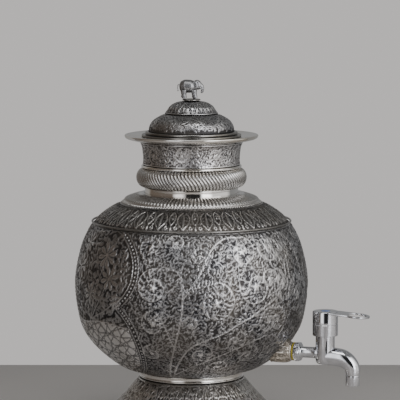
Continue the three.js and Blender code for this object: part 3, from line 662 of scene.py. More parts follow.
# Both halves are cut from the one worked face, so the drawing runs on across the seam.
wall = 2.4
seam_row = int(np.searchsorted(body_line[:, 1], seam_height))
inside_of_pot = inner_face(body_line, wall, 14)
grain = np.random.default_rng(5).normal(0, 0.06, body_face.height.shape) * (body_face.height < 0.3)
body_lift = body_face.height - body_depth + grain
along = np.gradient(body_line, axis=0)
along /= np.linalg.norm(along, axis=1)[:, None]
body_facing = np.column_stack([along[:, 1], -along[:, 0]])
for half in ("lower", "upper"):
    rows = slice(0, seam_row + 1) if half == "lower" else slice(seam_row, body_rows)
    outside = body_line[rows]
    lift = body_lift[rows]
    worked_rows = body_face.height[rows]
    if half == "lower":
        inside = [point for point in inside_of_pot if point[1] < seam_height - 3]
        outline = [(0.0, body_bottom), (foot_neck - 4, body_bottom), *outside,
                   (outside[-1, 0] - wall, outside[-1, 1] - 1.6), *inside[:-1],
                   (foot_neck + 1, body_bottom + 1.2), (0.0, body_bottom + 1.2)]
        lift = np.vstack([np.zeros((2, body_around)), lift])
        facing = np.vstack([(0, -1), (0, -1), body_facing[rows]])
        first = 1 + body_around
    else:
        inside = [point for point in inside_of_pot if point[1] > seam_height + 3]
        outline = [*outside, *inside, (outside[0, 0] - wall, outside[0, 1] + 1.6)]
        facing = body_facing[rows]
        first = 0
    shell = turned("body_" + half + "_half", outline, body_around, chased_silver, lift=lift, crease=85,
                   facing=facing)
    tone = np.zeros(len(shell.data.vertices), np.float32)
    tone[first:first + worked_rows.size] = np.clip(worked_rows / body_depth, 0, 1).ravel()
    shell.data.attributes.new("worked", "FLOAT", "POINT").data.foreach_set("value", tone)
    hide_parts("body_" + half)

# ---- Shoulder -----------------------------------------------------------------------------------
# The shoulder is a separate dished ring soldered on above the belly. Long pointed petals hang down it
# all round, each between two wiry stems that end in a ring like a drop, with curls filling between.

shoulder_hole = 64.0
shoulder_span = shoulder_radius - shoulder_hole
shoulder_rise = shoulder_top - shoulder_bottom
shoulder_line = through([(shoulder_radius - shoulder_span * inward, shoulder_bottom + shoulder_rise * up)
                         for inward, up in ((0, 0), (0.1, 0.227), (0.26, 0.464), (0.43, 0.655),
                                            (0.61, 0.8), (0.83, 0.93), (1, 1))], 74)
shoulder_depth = 1.3
shoulder_face = Chasing(shoulder_line, 860)
petals = 24
collar_edge = size_of("collar_plate")[0]
inner_edge = float(np.interp(-collar_edge, -shoulder_line[:, 0], shoulder_face.up))
draw = random.Random(21)
petal_lines = (  # the petal's side, the hook beside it and the ring drop, by half a petal's turn and height
    (1.0, [(0.02, 5), (0.2, 10), (0.44, 17), (0.52, 25), (0.4, 33), (0.14, 39)]),
    (0.9, [(0.98, 14), (0.8, 20), (0.72, 28), (0.82, 36), (0.98, 40)]),
    (0.85, [(0.56, 17), (0.6, 12), (0.5, 7.5), (0.62, 5), (0.72, 7.5), (0.62, 11)]),
)
for k in range(petals):
    turn = k * 2 * math.pi / petals
    half = math.pi / petals
    shoulder_face.stroke([turn] * 4, [36, 26, 17, 8], [0.5, 1.5, 1.9, 0.4], shoulder_depth, 0.5)
    for lean in (-1, 1):
        for width, points in petal_lines:
            line = through(points, 16)
            around = turn + lean * half * line[:, 0]
            shoulder_face.stroke(around, line[:, 1], np.full(16, width), shoulder_depth)
    between = turn + half
    sweep = 5.5 if k % 2 else -5.5
    shoulder_face.stroke([between] * 3, [5, 9, 13], [1.9, 1.3, 0.5], shoulder_depth)
    shoulder_face.spiral(between, 28, 4.6, math.pi / 2, sweep, 0.9, shoulder_depth, leaves=False)
shoulder_face.ring(inner_edge - 4.6, 0.9, shoulder_depth)
shoulder_face.ring(inner_edge + 2.2, 2.6, shoulder_depth + 1.9)
beads = 150
for k in range(beads):
    shoulder_face.stroke([k * 2 * math.pi / beads], [inner_edge - 1.7], [1.8], shoulder_depth + 1.0)
shoulder_face.fill(draw, (0, 2 * math.pi), (3, inner_edge - 5), 7000, 4.2, 0.9, shoulder_depth * 0.55)
shoulder_silver = chased_finish("shoulder_silver", (0.035, 0.034, 0.035), (0.36, 0.35, 0.345),
                                (0.95, 0.93, 0.91), (0.3, 0.26, 0.21))
shoulder = work("shoulder_dish", shoulder_face, shoulder_depth, inner_face(shoulder_line, 2.2, 8),
                shoulder_silver)
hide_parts("shoulder_shell")

# ---- Shoulder fillet ----------------------------------------------------------------------------
# A plain drawn wire soldered over the seam between body and shoulder, left satin.

satin_silver, run, join = new_finish("satin_silver")
haze = run.noise(45, 3)
brush = run.noise(600, 3)
join(Base_Color=haze.spread(0.35, 0.7).mix((0.32, 0.31, 0.295), (0.2, 0.19, 0.175)),
     Roughness=haze.spread(0.3, 0.7, 0.24, 0.38), Normal=bumped(run, brush, 0.3, 0.2))

radius, bottom, top = size_of("shoulder_fillet")
wire_r = 1.4
wire = arc((radius - wire_r, bottom + wire_r - 0.2), (wire_r, wire_r), -60, 260, 16)
fillet = turned("seam_wire", wire, 300, satin_silver)
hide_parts("shoulder_fillet")

# ---- Collar -------------------------------------------------------------------------------------
# A low dished collar between shoulder and neck. Its crown is burnished plain, and short straight
# flutes are beaten round the slope, running out to a sharp edge.

radius, bottom, top = size_of("collar_plate")
collar_inner = 67.3
reach = radius - collar_inner
collar_line = through([(radius, bottom), (radius - reach * 0.12, bottom + 0.38 * (top - bottom)),
                       (radius - reach * 0.5, bottom + 0.76 * (top - bottom)),
                       (radius - reach * 0.8, bottom + 0.95 * (top - bottom)), (collar_inner, top)], 34)
collar_flutes = 108
collar_depth = 1.4
collar_face = Chasing(collar_line, 864)
share = collar_face.up[:, None] / collar_face.up[-1]
flute = np.abs(np.cos(collar_face.turn[None, :] * collar_flutes / 2)) ** 0.7
fade = np.clip((share - 0.01) / 0.04, 0, 1) * np.clip((0.74 - share) / 0.06, 0, 1)
collar_face.height[:] = collar_depth * (1 - fade * (1 - flute))
fluted_silver = chased_finish("fluted_silver", (0.05, 0.048, 0.048), (0.36, 0.352, 0.345),
                              (0.8, 0.79, 0.775), (0.4, 0.36, 0.3))
collar = work("fluted_collar", collar_face, collar_depth, inner_face(collar_line, 1.2, 4), fluted_silver,
              roughness=0.0)
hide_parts("collar_plate")

# ---- Neck sleeve and neck band ------------------------------------------------------------------
# A plain tube runs up inside the neck and carries every ring slipped over it. The lowest ring is a
# broad upright band burnished like a mirror.

radius, bottom, top = size_of("neck_sleeve")
sleeve_wall = 1.2
tube = [(radius, bottom), (radius, top), (radius - sleeve_wall, top), (radius - sleeve_wall, bottom)]
sleeve = turned("neck_tube", eased(tube, 0.4), 180, satin_silver, crease=50)
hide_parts("neck_sleeve")

radius, bottom, top = size_of("neck_band")
fitted = 64.0  # the bore of every ring slipped over the sleeve
band = turned("neck_ring", [(fitted, bottom), (radius - 0.5, bottom), (radius, bottom + 0.6),
                            *[(radius - 0.35 * math.sin(math.pi * z), bottom + 1 + (top - bottom - 2) * z)
                              for z in np.linspace(0.05, 0.95, 12)],
                            (radius, top - 0.6), (radius - 0.5, top), (fitted, top)], 240, polished_silver,
              crease=60)
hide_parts("neck_band")

# ---- Gadroon ring -------------------------------------------------------------------------------
# A fat hollow ring beaten into slanting lobes, each bowed like a letter S, bright along its crown and
# dark in the groove beside it.

radius, bottom, top = size_of("gadroon_ring")
seat = 68.0
swell = arc((seat, (bottom + top) / 2), (radius - seat, (top - bottom) / 2), -90, 90, 120)
gadroon_line = through(swell, 46)
lobes_round = 90
gadroon_depth = 1.9
gadroon_face = Chasing(gadroon_line, 1080)
share = gadroon_face.up[:, None] / gadroon_face.up[-1]
slant = math.radians(8) * (share - 0.5) + math.radians(2.0) * np.sin((share - 0.5) * 2 * math.pi)
phase = (gadroon_face.turn[None, :] + slant) * lobes_round / 2
gadroon_face.height[:] = gadroon_depth * np.abs(np.cos(phase)) ** 0.6
ends = np.clip(np.minimum(share, 1 - share) / 0.08, 0, 1)
gadroon_face.height[:] = gadroon_face.height * ends + gadroon_depth * (1 - ends)
gadroon = work("gadrooned_ring", gadroon_face, gadroon_depth, inner_face(gadroon_line, 1.4, 6),
               fluted_silver, roughness=0.0)
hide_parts("gadroon_ring")

# ---- Neck moulding ------------------------------------------------------------------------------
# A plain half-round moulding between the gadroons and the frieze, burnished.

radius, bottom, top = size_of("neck_moulding")
half = (top - bottom) / 2
half_round = arc((radius - half, bottom + half), (half, half), -88, 88, 12)
moulding = turned("neck_bead", [(fitted, bottom), *half_round, (fitted, top)], 240, polished_silver,
                  crease=60)
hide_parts("neck_moulding")

# ---- Neck frieze --------------------------------------------------------------------------------
# A waisted band of sheet chased with a row of round scrolls, leaves curling in and between them, and
# a bead line along top and bottom. Its ground is paler than the body's.

radius, bottom, top = size_of("neck_frieze")
waist = 69.2
frieze_line = through([(waist + 0.6, bottom), (waist, bottom + (top - bottom) * 0.3),
                       (waist + 1.75, bottom + (top - bottom) * 0.75), (radius, top)], 44)
frieze_depth = 0.8
frieze_face = Chasing(frieze_line, 620)
frieze_reach = frieze_face.up[-1]
scrolls = 9
draw = random.Random(31)
for k in range(scrolls):
    turn = k * 2 * math.pi / scrolls
    hand = 1 if k % 2 else -1
    frieze_face.spiral(turn, frieze_reach * 0.5, 12.4, hand * math.pi / 2, hand * 9.2, 1.0, frieze_depth)
    between = turn + math.pi / scrolls
    for lean in (-1, 1):
        for up in (0.22, 0.5, 0.78):
            frieze_face.leaf(between, frieze_reach * up, math.pi / 2 - lean * 1.1, 7, 1.4, lean * 1.3,
                             frieze_depth)
for up in (1.2, frieze_reach - 1.2):
    frieze_face.ring(up, 0.9, frieze_depth)
frieze_face.fill(draw, (0, 2 * math.pi), (3, frieze_reach - 3), 5000, 4.6, 1.0, frieze_depth * 0.9)
neck_silver = chased_finish("neck_silver", (0.09, 0.088, 0.09), (0.6, 0.59, 0.59), (0.95, 0.94, 0.93),
                            (0.4, 0.35, 0.3))
frieze = work("scroll_frieze", frieze_face, frieze_depth, inner_face(frieze_line, 2.0, 6), neck_silver,
              roughness=0.05)
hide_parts("neck_frieze")

# ---- Rim lip ------------------------------------------------------------------------------------
# The mouth's wide everted lip, thick silver with a rolled edge, burnished. Its top face is hollowed
# a little so that the lid's flange lies inside it.

radius, bottom, top = size_of("rim_lip")
root = 74.2
seat_top = top - 2.4
lip_outline = [(fitted, bottom), (root, bottom),
               *through([(root + 1, bottom + 0.1), ((root + radius) / 2, top - 7.4),
                         (radius - 4.6, top - 6.0)], 8),
               *through([(radius - 4, top - 5.8), (radius - 1.4, top - 4.4), (radius - 0.5, top - 2.8),
                         (radius, top - 1.2), (radius - 0.7, top - 0.2)], 12),
               *through([(radius - 1.4, top), (radius - 3.2, top - 0.5), (radius - 6, top - 1.2)], 6),
               (72, seat_top + 0.1), (71, seat_top), (fitted, seat_top)]
lip = turned("mouth_lip", lip_outline, 260, polished_silver, crease=50)
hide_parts("rim_lip")

# ---- Lid flange, bezel and step -----------------------------------------------------------------
# The lid rests on a flat flange, located by a bezel inside the neck. A plain step carries the domes.
# All three are turned and left dull.

lid_bore = 60.7
for node, name in (("lid_flange", "lid_plate"), ("lid_bezel", "lid_collar"), ("lid_step", "lid_step_ring")):
    radius, bottom, top = size_of(node)
    if node == "lid_step":
        rounding = arc((radius - 1.4, (bottom + top) / 2), (1.4, (top - bottom) / 2), -85, 85, 8)
        outline, crease = [(lid_bore, bottom), *rounding, (lid_bore, top)], 60
    else:
        square_edged = [(radius, bottom), (radius, top), (lid_bore, top), (lid_bore, bottom)]
        outline, crease = eased(square_edged, 0.5), 50
    piece = turned(name, outline, 200, satin_silver, "lid", crease=crease)
    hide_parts(node)

# ---- Lid domes ----------------------------------------------------------------------------------
# Two raised domes, the smaller soldered on the larger. The lower one is chased with close curls under
# a ring of scrolls; the upper one with upright pointed petals meeting at the finial.

radius, bottom, top = size_of("lid_lower_dome")
crown_radius, crown_bottom, crown_top = size_of("lid_upper_dome")
dome_bore = crown_radius - 6
rise = top - bottom
dome_line = through([(radius, bottom), (radius * 0.965, bottom + 0.33 * rise),
                     (radius * 0.89, bottom + 0.6 * rise), (radius * 0.775, bottom + 0.8 * rise),
                     (crown_radius + 1, bottom + 0.95 * rise), (dome_bore, top)], 52)
dome_depth = 0.8
dome_face = Chasing(dome_line, 560)
dome_reach = dome_face.up[-1]
draw = random.Random(41)
for k in range(9):
    sweep = 8.0 if k % 2 else -8.0
    dome_face.spiral((k + 0.5) * 2 * math.pi / 9, 16, 9.5, 0.6 * k, sweep, 0.95, dome_depth)
dome_face.ring(dome_reach - 6.5, 0.8, dome_depth)
dome_face.fill(draw, (0, 2 * math.pi), (5, dome_reach - 4), 9000, 4.8, 1.05, dome_depth * 0.9)
dome = work("lower_dome", dome_face, dome_depth, inner_face(dome_line, 2.0, 8), chased_silver)
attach(dome, "lid")
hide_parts("lid_lower_dome")

rise = crown_top - crown_bottom
crown_line = through([(crown_radius, crown_bottom), (crown_radius * 0.9, crown_bottom + 0.26 * rise),
                      (crown_radius * 0.795, crown_bottom + 0.57 * rise),
                      (crown_radius * 0.61, crown_bottom + 0.82 * rise),
                      (crown_radius * 0.39, crown_bottom + 0.94 * rise), (2.3, crown_top)], 52)
crown_face = Chasing(crown_line, 360)
crown_reach = crown_face.up[-1]
for k in range(16):
    turn = k * math.pi / 8
    half = math.pi / 16
    for lean in (-1, 1):
        side = turn + lean * half * np.array([0.9, 0.85, 0.6, 0.0])
        crown_face.stroke(side, [3, 10, 17, 23], np.full(4, 0.7), dome_depth)
        crown_face.leaf(turn, 9, math.pi / 2 - lean * 0.8, 5, 1.1, lean * 1.0, dome_depth)
    crown_face.stroke([turn] * 3, [5, 12, 19], [0.5, 1.2, 0.3], dome_depth)
for up in (1.2, 25.5, crown_reach - 9):
    crown_face.ring(up, 0.7, dome_depth)
crown_face.fill(draw, (0, 2 * math.pi), (2, crown_reach - 8), 3500, 3.6, 0.85, dome_depth * 0.85)
crown = work("upper_dome", crown_face, dome_depth, inner_face(crown_line, 1.6, 6), chased_silver)
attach(crown, "lid")
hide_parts("lid_upper_dome")

# ---- Elephant finial ----------------------------------------------------------------------------
# A little standing elephant, cast solid, filed and burnished. Its feet are soldered to a round pad that
# is screwed to the dome. Its trunk hangs and curls back under itself, and its ears lie along its neck.

elephant_low, elephant_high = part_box("elephant")
soles = elephant_low[2] / MM
tall = elephant_high[2] / MM - soles


def ball(centre, radii, tip=0.0, rings=20):
    """Points and faces of a rounded lump, tipped nose-down by some degrees."""
    points, faces = [], []
    for i in range(rings + 1):
        rise = math.pi * i / rings
        for k in range(rings):
            way = 2 * math.pi * k / rings
            points.append(Vector((radii[0] * math.sin(rise) * math.cos(way),
                                  radii[1] * math.sin(rise) * math.sin(way), radii[2] * math.cos(rise))))
    turn_over = Matrix.Rotation(math.radians(tip), 3, "Y")
    points = [turn_over @ p + Vector(centre) for p in points]
    for i in range(rings):
        for k in range(rings):
            a, b = i * rings + k, i * rings + (k + 1) % rings
            faces.append((a, a + rings, b + rings, b))
    return points, faces


def swept(points, radii, sides=16, steps=24):
    """Points and faces of a round bar along a curve, with closed ends and radii that change along it."""
    line = through(points, steps)
    share = np.linspace(0, 1, steps)
    wide = np.interp(share, np.linspace(0, 1, len(radii)), radii)
    along = np.gradient(line, axis=0)
    along /= np.linalg.norm(along, axis=1)[:, None]
    side = np.cross(along[0], (0.13, 1, 0.29))
    made = []
    for place, way, radius in zip(line, along, wide):
        side = side - way * (side @ way)
        side /= np.linalg.norm(side)
        other = np.cross(way, side)
        for k in range(sides):
            angle = 2 * math.pi * k / sides
            made.append(place + radius * (side * math.cos(angle) + other * math.sin(angle)))
    faces = [tuple(reversed(range(sides)))]
    for i in range(steps - 1):
        for k in range(sides):
            a, b = i * sides + k, i * sides + (k + 1) % sides
            faces.append((a, b, b + sides, a + sides))
    faces.append(tuple(range((steps - 1) * sides, steps * sides)))
    return [Vector(p) for p in made], faces


def gathered(shapes):
    """Several shapes of points and faces as one."""
    points, faces = [], []
    for some, sides in shapes:
        faces += [tuple(v + len(points) for v in face) for face in sides]
        points += some
    return points, faces


def fused(name, shapes, grain, finish, body, passes=6):
    """Shapes of points and faces cast as one blended solid, remeshed at one grain size."""
    points, faces = gathered(shapes)
    rough = mesh_piece(name + "_pattern", [tuple(p) for p in points], faces, None, None)
    remesh = rough.modifiers.new("cast", "REMESH")
    remesh.mode = "VOXEL"
    remesh.voxel_size = grain * MM
    soften = rough.modifiers.new("file", "SMOOTH")
    soften.factor = 0.5
    soften.iterations = passes
    depsgraph = bpy.context.evaluated_depsgraph_get()
    mesh = bpy.data.meshes.new_from_object(rough.evaluated_get(depsgraph))
    bpy.data.objects.remove(rough)
    mesh.name = name
    mesh.materials.clear()
    mesh.materials.append(finish)
    mesh.shade_smooth()
    piece = bpy.data.objects.new(name, mesh)
    bpy.context.scene.collection.objects.link(piece)
    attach(piece, body)
    return piece


figure = [
    swept([(-15.0, 0, 17.6), (-9, 0, 17.9), (-2, 0, 17.6), (5.0, 0, 18.4)],
          (6.4, 9.2, 9.5, 9.2, 6.8), 24, 30),
    ball((-12.2, 0, 17.2), (5.2, 7.0, 8.6)),
    ball((9.0, 0, 19.4), (5.8, 5.2, 6.8)),
    ball((8.0, 0, 23.4), (4.4, 4.2, 3.4)),
]
for side in (-1, 1):
    figure.append(ball((5.2, 6.8 * side, 19.6), (4.0, 0.9, 5.6), -12))
    figure.append(swept([(12.0, 2.4 * side, 16.6), (14.0, 3.1 * side, 13.8), (16.0, 3.3 * side, 13.4)],
                        (1.1, 0.9, 0.4)))
    figure.append(swept([(-10.8, 4.0 * side, 12), (-10.8, 4.3 * side, 6),
                         (-10.8 - 1.0 * side, 4.3 * side, 0.8)], (4.8, 3.7, 3.4)))
    figure.append(swept([(3.4, 4.0 * side, 12), (4.2, 4.3 * side, 6), (4.8 - 1.0 * side, 4.2 * side, 0.8)],
                        (4.6, 3.5, 3.3)))
figure.append(swept([(12.4, 0, 19.0), (15.0, 0, 16.6), (15.8, 0, 12.6), (15.0, 0, 9.4), (13.2, 0, 9.8)],
                    (3.8, 3.0, 2.4, 2.0, 1.4), steps=36))
figure.append(swept([(-18.6, 0, 20.5), (-19.6, 0, 16), (-19.0, 0, 10.5)], (0.9, 0.7, 0.9)))
elephant_finish, run, join = new_finish("cast_silver")
hollow = run.node("ShaderNodeNewGeometry", output=7).spread(0.44, 0.56)
haze = run.noise(120, 3)
join(Base_Color=(hollow * haze.spread(0.3, 0.7, 0.8, 1.0)).mix((0.1, 0.1, 0.1), (0.55, 0.55, 0.56)),
     Roughness=hollow.spread(0, 1, 0.5, 0.27), Normal=bumped(run, haze, 0.3, 0.3))
elephant = fused("standing_elephant", figure, 0.42, elephant_finish, "lid")
shape = np.array([v.co for v in elephant.data.vertices]) / MM
shape[:, 2] = (shape[:, 2] - shape[:, 2].min()) * tall / (shape[:, 2].max() - shape[:, 2].min()) + soles
for side in (-1, 1):
    eye = np.linalg.norm(shape - (9.6, 4.1 * side, soles + 0.8 * tall), axis=1)
    shape[:, 1] -= side * 0.5 * np.exp(-(eye / 0.8) ** 2)
facing = math.radians(20)
turned_x = shape[:, 0] * math.cos(facing) - shape[:, 1] * math.sin(facing)
turned_y = shape[:, 0] * math.sin(facing) + shape[:, 1] * math.cos(facing)
elephant.data.vertices.foreach_set("co", (np.column_stack([turned_x, turned_y, shape[:, 2]]) * MM).ravel())
elephant.data.update()
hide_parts("elephant")

radius, bottom, top = size_of("finial_pad")
cone = [(2.3, bottom), (radius, bottom), (radius, bottom + 1.1), (radius - 1.2, top), (2.3, top)]
pad = turned("finial_seat", eased(cone, 0.5), 120, satin_silver, "lid", crease=50)
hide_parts("finial_pad")

# ---- Tap boss -----------------------------------------------------------------------------------
# A short tapering boss soldered to the belly where the tap goes through, chased with a few leaves and
# left warm with tarnish. A yellow fibre washer seals the tap's hexagon against it.

washer_low, washer_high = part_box("tap_washer")
boss_low, boss_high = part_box("tap_boss")
tap_height = (washer_low[2] + washer_high[2]) / 2 / MM
along_tap = Matrix.Translation((0, 0, tap_height)) @ Matrix.Rotation(math.pi / 2, 4, "Y")
boss_end = boss_high[0] / MM
boss_root = (boss_high[1] - boss_low[1]) / 2 / MM
bore = 10.6
boss_line = through([(boss_root, boss_end - 32), (boss_root, boss_end - 14), (boss_root - 1.2, boss_end - 7),
                     (boss_root - 3.4, boss_end - 2.4), (boss_root - 4, boss_end - 0.4)], 40)
boss_face = Chasing(boss_line, 150)
for k in range(12):
    turn = k * math.pi / 6
    boss_face.stroke([turn] * 3, [12, 20, 29], [1.6, 1.9, 0.4], 0.6, 0.4)
boss_face.ring(31, 0.8, 0.6)
boss_face.fill(random.Random(51), (0, 2 * math.pi), (6, 30), 500, 4, 0.9, 0.5)
boss_silver = chased_finish("boss_silver", (0.3, 0.27, 0.23), (0.78, 0.72, 0.64), (0.96, 0.93, 0.87),
                            (0.5, 0.42, 0.32))
boss_outline = [*boss_line, (boss_root - 4.4, boss_end), (bore, boss_end), (bore, boss_end - 32)]
boss = turned("chased_boss", boss_outline, 150, boss_silver, lift=boss_face.height - 0.6,
              place=along_tap, crease=60)
give_tone(boss, boss_face, 0.6)
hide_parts("tap_boss")

washer_r = (washer_high[1] - washer_low[1]) / 2 / MM
washer_from, washer_to = washer_low[0] / MM, washer_high[0] / MM
yellow_seal, run, join = new_finish("yellow_seal", 0.0)
fibre = run.noise(700, 3)
join(Base_Color=fibre.mix((0.3, 0.22, 0.02), (0.62, 0.5, 0.04)),
     Roughness=fibre.spread(0.3, 0.7, 0.45, 0.7), Normal=bumped(run, fibre, 0.5, 0.15))
flat_ring = [(bore, washer_from), (washer_r, washer_from), (washer_r, washer_to), (bore, washer_to)]
washer = turned("fibre_washer", eased(flat_ring, 0.4), 90, yellow_seal, place=along_tap, crease=50)
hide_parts("tap_washer")

# ---- Tap body -----------------------------------------------------------------------------------
# One brass casting, polished and chrome plated: the hexagon that is screwed up to the boss, a straight
# inlet, the upright chamber for the cartridge, and a spout that bows out and turns down.

chrome, run, join = new_finish("chrome")
bloom = run.noise(70, 3)
join(Base_Color=bloom.spread(0.35, 0.65).mix((0.66, 0.67, 0.7), (0.78, 0.79, 0.82)),
     Roughness=bloom.spread(0.3, 0.7, 0.02, 0.05), Normal=bumped(run, bloom, 0.05, 0.2))

cap_low, cap_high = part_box("index_cap")
tap_x = (cap_low[0] + cap_high[0]) / 2 / MM
nozzle_low, nozzle_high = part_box("outlet_nozzle")
outlet_x = (nozzle_low[0] + nozzle_high[0]) / 2 / MM
spout_end = nozzle_high[2] / MM + 0.3
spout_reach = outlet_x - tap_x
hex_start = washer_to + 0.3
hex_end = hex_start + 9
hex_corner = 14.5
chamber_r = 13.6
chamber_bottom = tap_height - 15.5
chamber_top = tap_height + 27.7
inlet_r = 7.9
thread_r = 10.3


def outline_shape(outline, around, place=None):
    """Points and faces of a turned solid, for joining with others."""
    keep = turned("pattern", outline, around, None, None, place=place)
    points = [Vector(v.co) / MM for v in keep.data.vertices]
    faces = [tuple(p.vertices) for p in keep.data.polygons]
    mesh = keep.data
    bpy.data.objects.remove(keep)
    bpy.data.meshes.remove(mesh)
    return points, faces


def joined(name, shapes, finish, body, crease=32):
    """Solids united one after another into one closed casting, with crisp joins."""
    first = mesh_piece(name, [tuple(p) for p in shapes[0][0]], shapes[0][1], None, None)
    for points, faces in shapes[1:]:
        tool = mesh_piece(name + "_pattern", [tuple(p) for p in points], faces, None, None)
        unite = first.modifiers.new("unite", "BOOLEAN")
        unite.operation = "UNION"
        unite.solver = "EXACT"
        unite.object = tool
        depsgraph = bpy.context.evaluated_depsgraph_get()
        mesh = bpy.data.meshes.new_from_object(first.evaluated_get(depsgraph))
        first.modifiers.clear()
        first.data = mesh
        bpy.data.objects.remove(tool)
    first.data.materials.clear()
    first.data.materials.append(finish)
    first.data.shade_smooth()
    first.data.set_sharp_from_angle(angle=math.radians(crease))
    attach(first, body)
    return first


def hexagon(start, end, corner, chamfer=1.6, steps=6):
    """A hexagon lying along the tap with its corners turned off to a shallow cone at both ends."""
    points, faces = [], []
    flat = corner * math.cos(math.pi / 6)
    columns = 6 * steps
    rows = ((start, flat * 0.9), (start, flat - 0.2), (start + chamfer * 0.35, flat + 0.5),
            (start + chamfer, corner), (end - chamfer, corner), (end - chamfer * 0.35, flat + 0.5),
            (end, flat - 0.2), (end, flat * 0.9))
    for x, limit in rows:
        for k in range(columns):
            angle = 2 * math.pi * k / columns
            across = flat / math.cos((angle + math.pi / 6) % (math.pi / 3) - math.pi / 6)
            radius = min(across, limit)
            points.append(Vector((x, radius * math.sin(angle), tap_height + radius * math.cos(angle))))
    for i in range(len(rows) - 1):
        for k in range(columns):
            a, b = i * columns + k, i * columns + (k + 1) % columns
            faces.append((a, a + columns, b + columns, b))
    faces.append(tuple(range(columns)))
    faces.append(tuple(reversed(range((len(rows) - 1) * columns, len(rows) * columns))))
    return points, faces


on_tap = Matrix.Translation((tap_x, 0, 0))
spout_line = [(tap_x + 2, 0, tap_height - 4), (tap_x + spout_reach * 0.35, 0, tap_height - 4.2),
              (tap_x + spout_reach * 0.68, 0, tap_height - 6.5),
              (tap_x + spout_reach * 0.93, 0, tap_height - 14.5),
              (outlet_x, 0, tap_height - 23), (outlet_x, 0, spout_end)]
casting = joined("tap_casting", [
    outline_shape([(0.0, boss_end - 27), (thread_r, boss_end - 27), (thread_r, hex_start + 1),
                   (0.0, hex_start + 1)], 64, along_tap),
    hexagon(hex_start, hex_end, hex_corner),
    outline_shape([(0.0, hex_end - 1), (inlet_r + 2.2, hex_end - 1), (inlet_r + 2.0, hex_end + 0.4),
                   (inlet_r + 0.5, hex_end + 1.6), (inlet_r, hex_end + 2.6), (inlet_r, tap_x - 16),
                   (inlet_r + 0.6, tap_x - 13.5), (inlet_r + 2.4, tap_x - 11.5), (inlet_r + 2.4, tap_x - 4),
                   (0.0, tap_x - 4)], 64, along_tap),
    outline_shape([(0.0, chamber_bottom), (chamber_r * 0.5, chamber_bottom),
                   (chamber_r * 0.78, chamber_bottom + 1), (chamber_r * 0.94, chamber_bottom + 3.4),
                   (chamber_r, chamber_bottom + 7.5), (chamber_r, chamber_top - 0.6),
                   (chamber_r - 0.6, chamber_top), (0.0, chamber_top)], 96, on_tap),
    swept(spout_line, (13.0, 13.0, 12.8, 12.0, 10.8, 10.0), sides=64, steps=44),
], chrome, "pot")
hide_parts("tap_body")

# ---- Outlet nozzle ------------------------------------------------------------------------------
# A short straight sleeve screwed onto the spout's end, with a fine groove at the joint and its mouth
# turned in over a flow straightener.

nozzle_bottom, nozzle_top = nozzle_low[2] / MM, nozzle_high[2] / MM
nozzle_r = (nozzle_high[1] - nozzle_low[1]) / 2 / MM
nozzle = turned("outlet_sleeve", [
    (nozzle_r - 2.5, nozzle_bottom + 1.6), (nozzle_r - 2.4, nozzle_bottom), (nozzle_r - 0.9, nozzle_bottom),
    (nozzle_r - 0.3, nozzle_bottom + 0.3), (nozzle_r, nozzle_bottom + 1.0), (nozzle_r, nozzle_top - 1.9),
    (nozzle_r - 0.6, nozzle_top - 1.6), (nozzle_r - 0.6, nozzle_top - 1.0), (nozzle_r, nozzle_top - 0.7),
    (nozzle_r - 0.2, nozzle_top), (nozzle_r - 2.5, nozzle_top)], 96, chrome,
    place=Matrix.Translation((outlet_x, 0, 0)), crease=40)
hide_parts("outlet_nozzle")

# ---- Lever --------------------------------------------------------------------------------------
# The quarter-turn handle: a deep round skirt over the headwork and a flat finger ring growing out of
# its top, cast in one and chrome plated. A screw under the blue cap holds it to the spindle.

lever_low, lever_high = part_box("tap_lever")
skirt_top = cap_low[2] / MM - 0.3 + 1.4
skirt_bottom = lever_low[2] / MM
skirt_r = (lever_high[1] - lever_low[1]) / 2 / MM
ring_reach = lever_high[0] / MM - tap_x - 18
ring_r, finger_r, plate_waist, plate_thick = 17.9, 13.4, 15.2, 2.6
plate = bpy.data.curves.new("lever_plate", "CURVE")
plate.dimensions = "2D"
plate.fill_mode = "BOTH"
plate.extrude = (plate_thick / 2 - 0.5) * MM
plate.bevel_depth = 0.5 * MM
plate.bevel_resolution = 3
bend = [(ring_reach + (ring_r - 0.5) * math.cos(a), (ring_r - 0.5) * math.sin(a))
        for a in np.radians(np.linspace(-118, 118, 60))]
half_plate = through([bend[-1], (ring_reach * 0.62, plate_waist + 0.6),
                      (ring_reach * 0.3, plate_waist - 0.2), (2, plate_waist - 0.6)], 12)[1:]
outside = [*bend, *[tuple(p) for p in half_plate], *[(p[0], -p[1]) for p in half_plate[::-1]]]
hole = [(ring_reach + (finger_r + 0.5) * math.cos(a), (finger_r + 0.5) * math.sin(a))
        for a in np.radians(np.arange(0, 360, 6))]
for loop in (outside, hole):
    spline = plate.splines.new("POLY")
    spline.points.add(len(loop) - 1)
    for point, (x, y) in zip(spline.points, loop):
        point.co = (x * MM, y * MM, 0, 1)
    spline.use_cyclic_u = True
plate_object = bpy.data.objects.new("lever_plate", plate)
bpy.context.scene.collection.objects.link(plate_object)
depsgraph = bpy.context.evaluated_depsgraph_get()
plate_mesh = bpy.data.meshes.new_from_object(plate_object.evaluated_get(depsgraph))
bpy.data.objects.remove(plate_object)
plate_height = skirt_top - plate_thick / 2 - 0.1
slope = Matrix.Translation((tap_x, 0, plate_height)) @ Matrix.Rotation(math.radians(4.5), 4, "Y")
plate_shape = ([slope @ (v.co / MM) for v in plate_mesh.vertices],
               [tuple(p.vertices) for p in plate_mesh.polygons])
bpy.data.meshes.remove(plate_mesh)
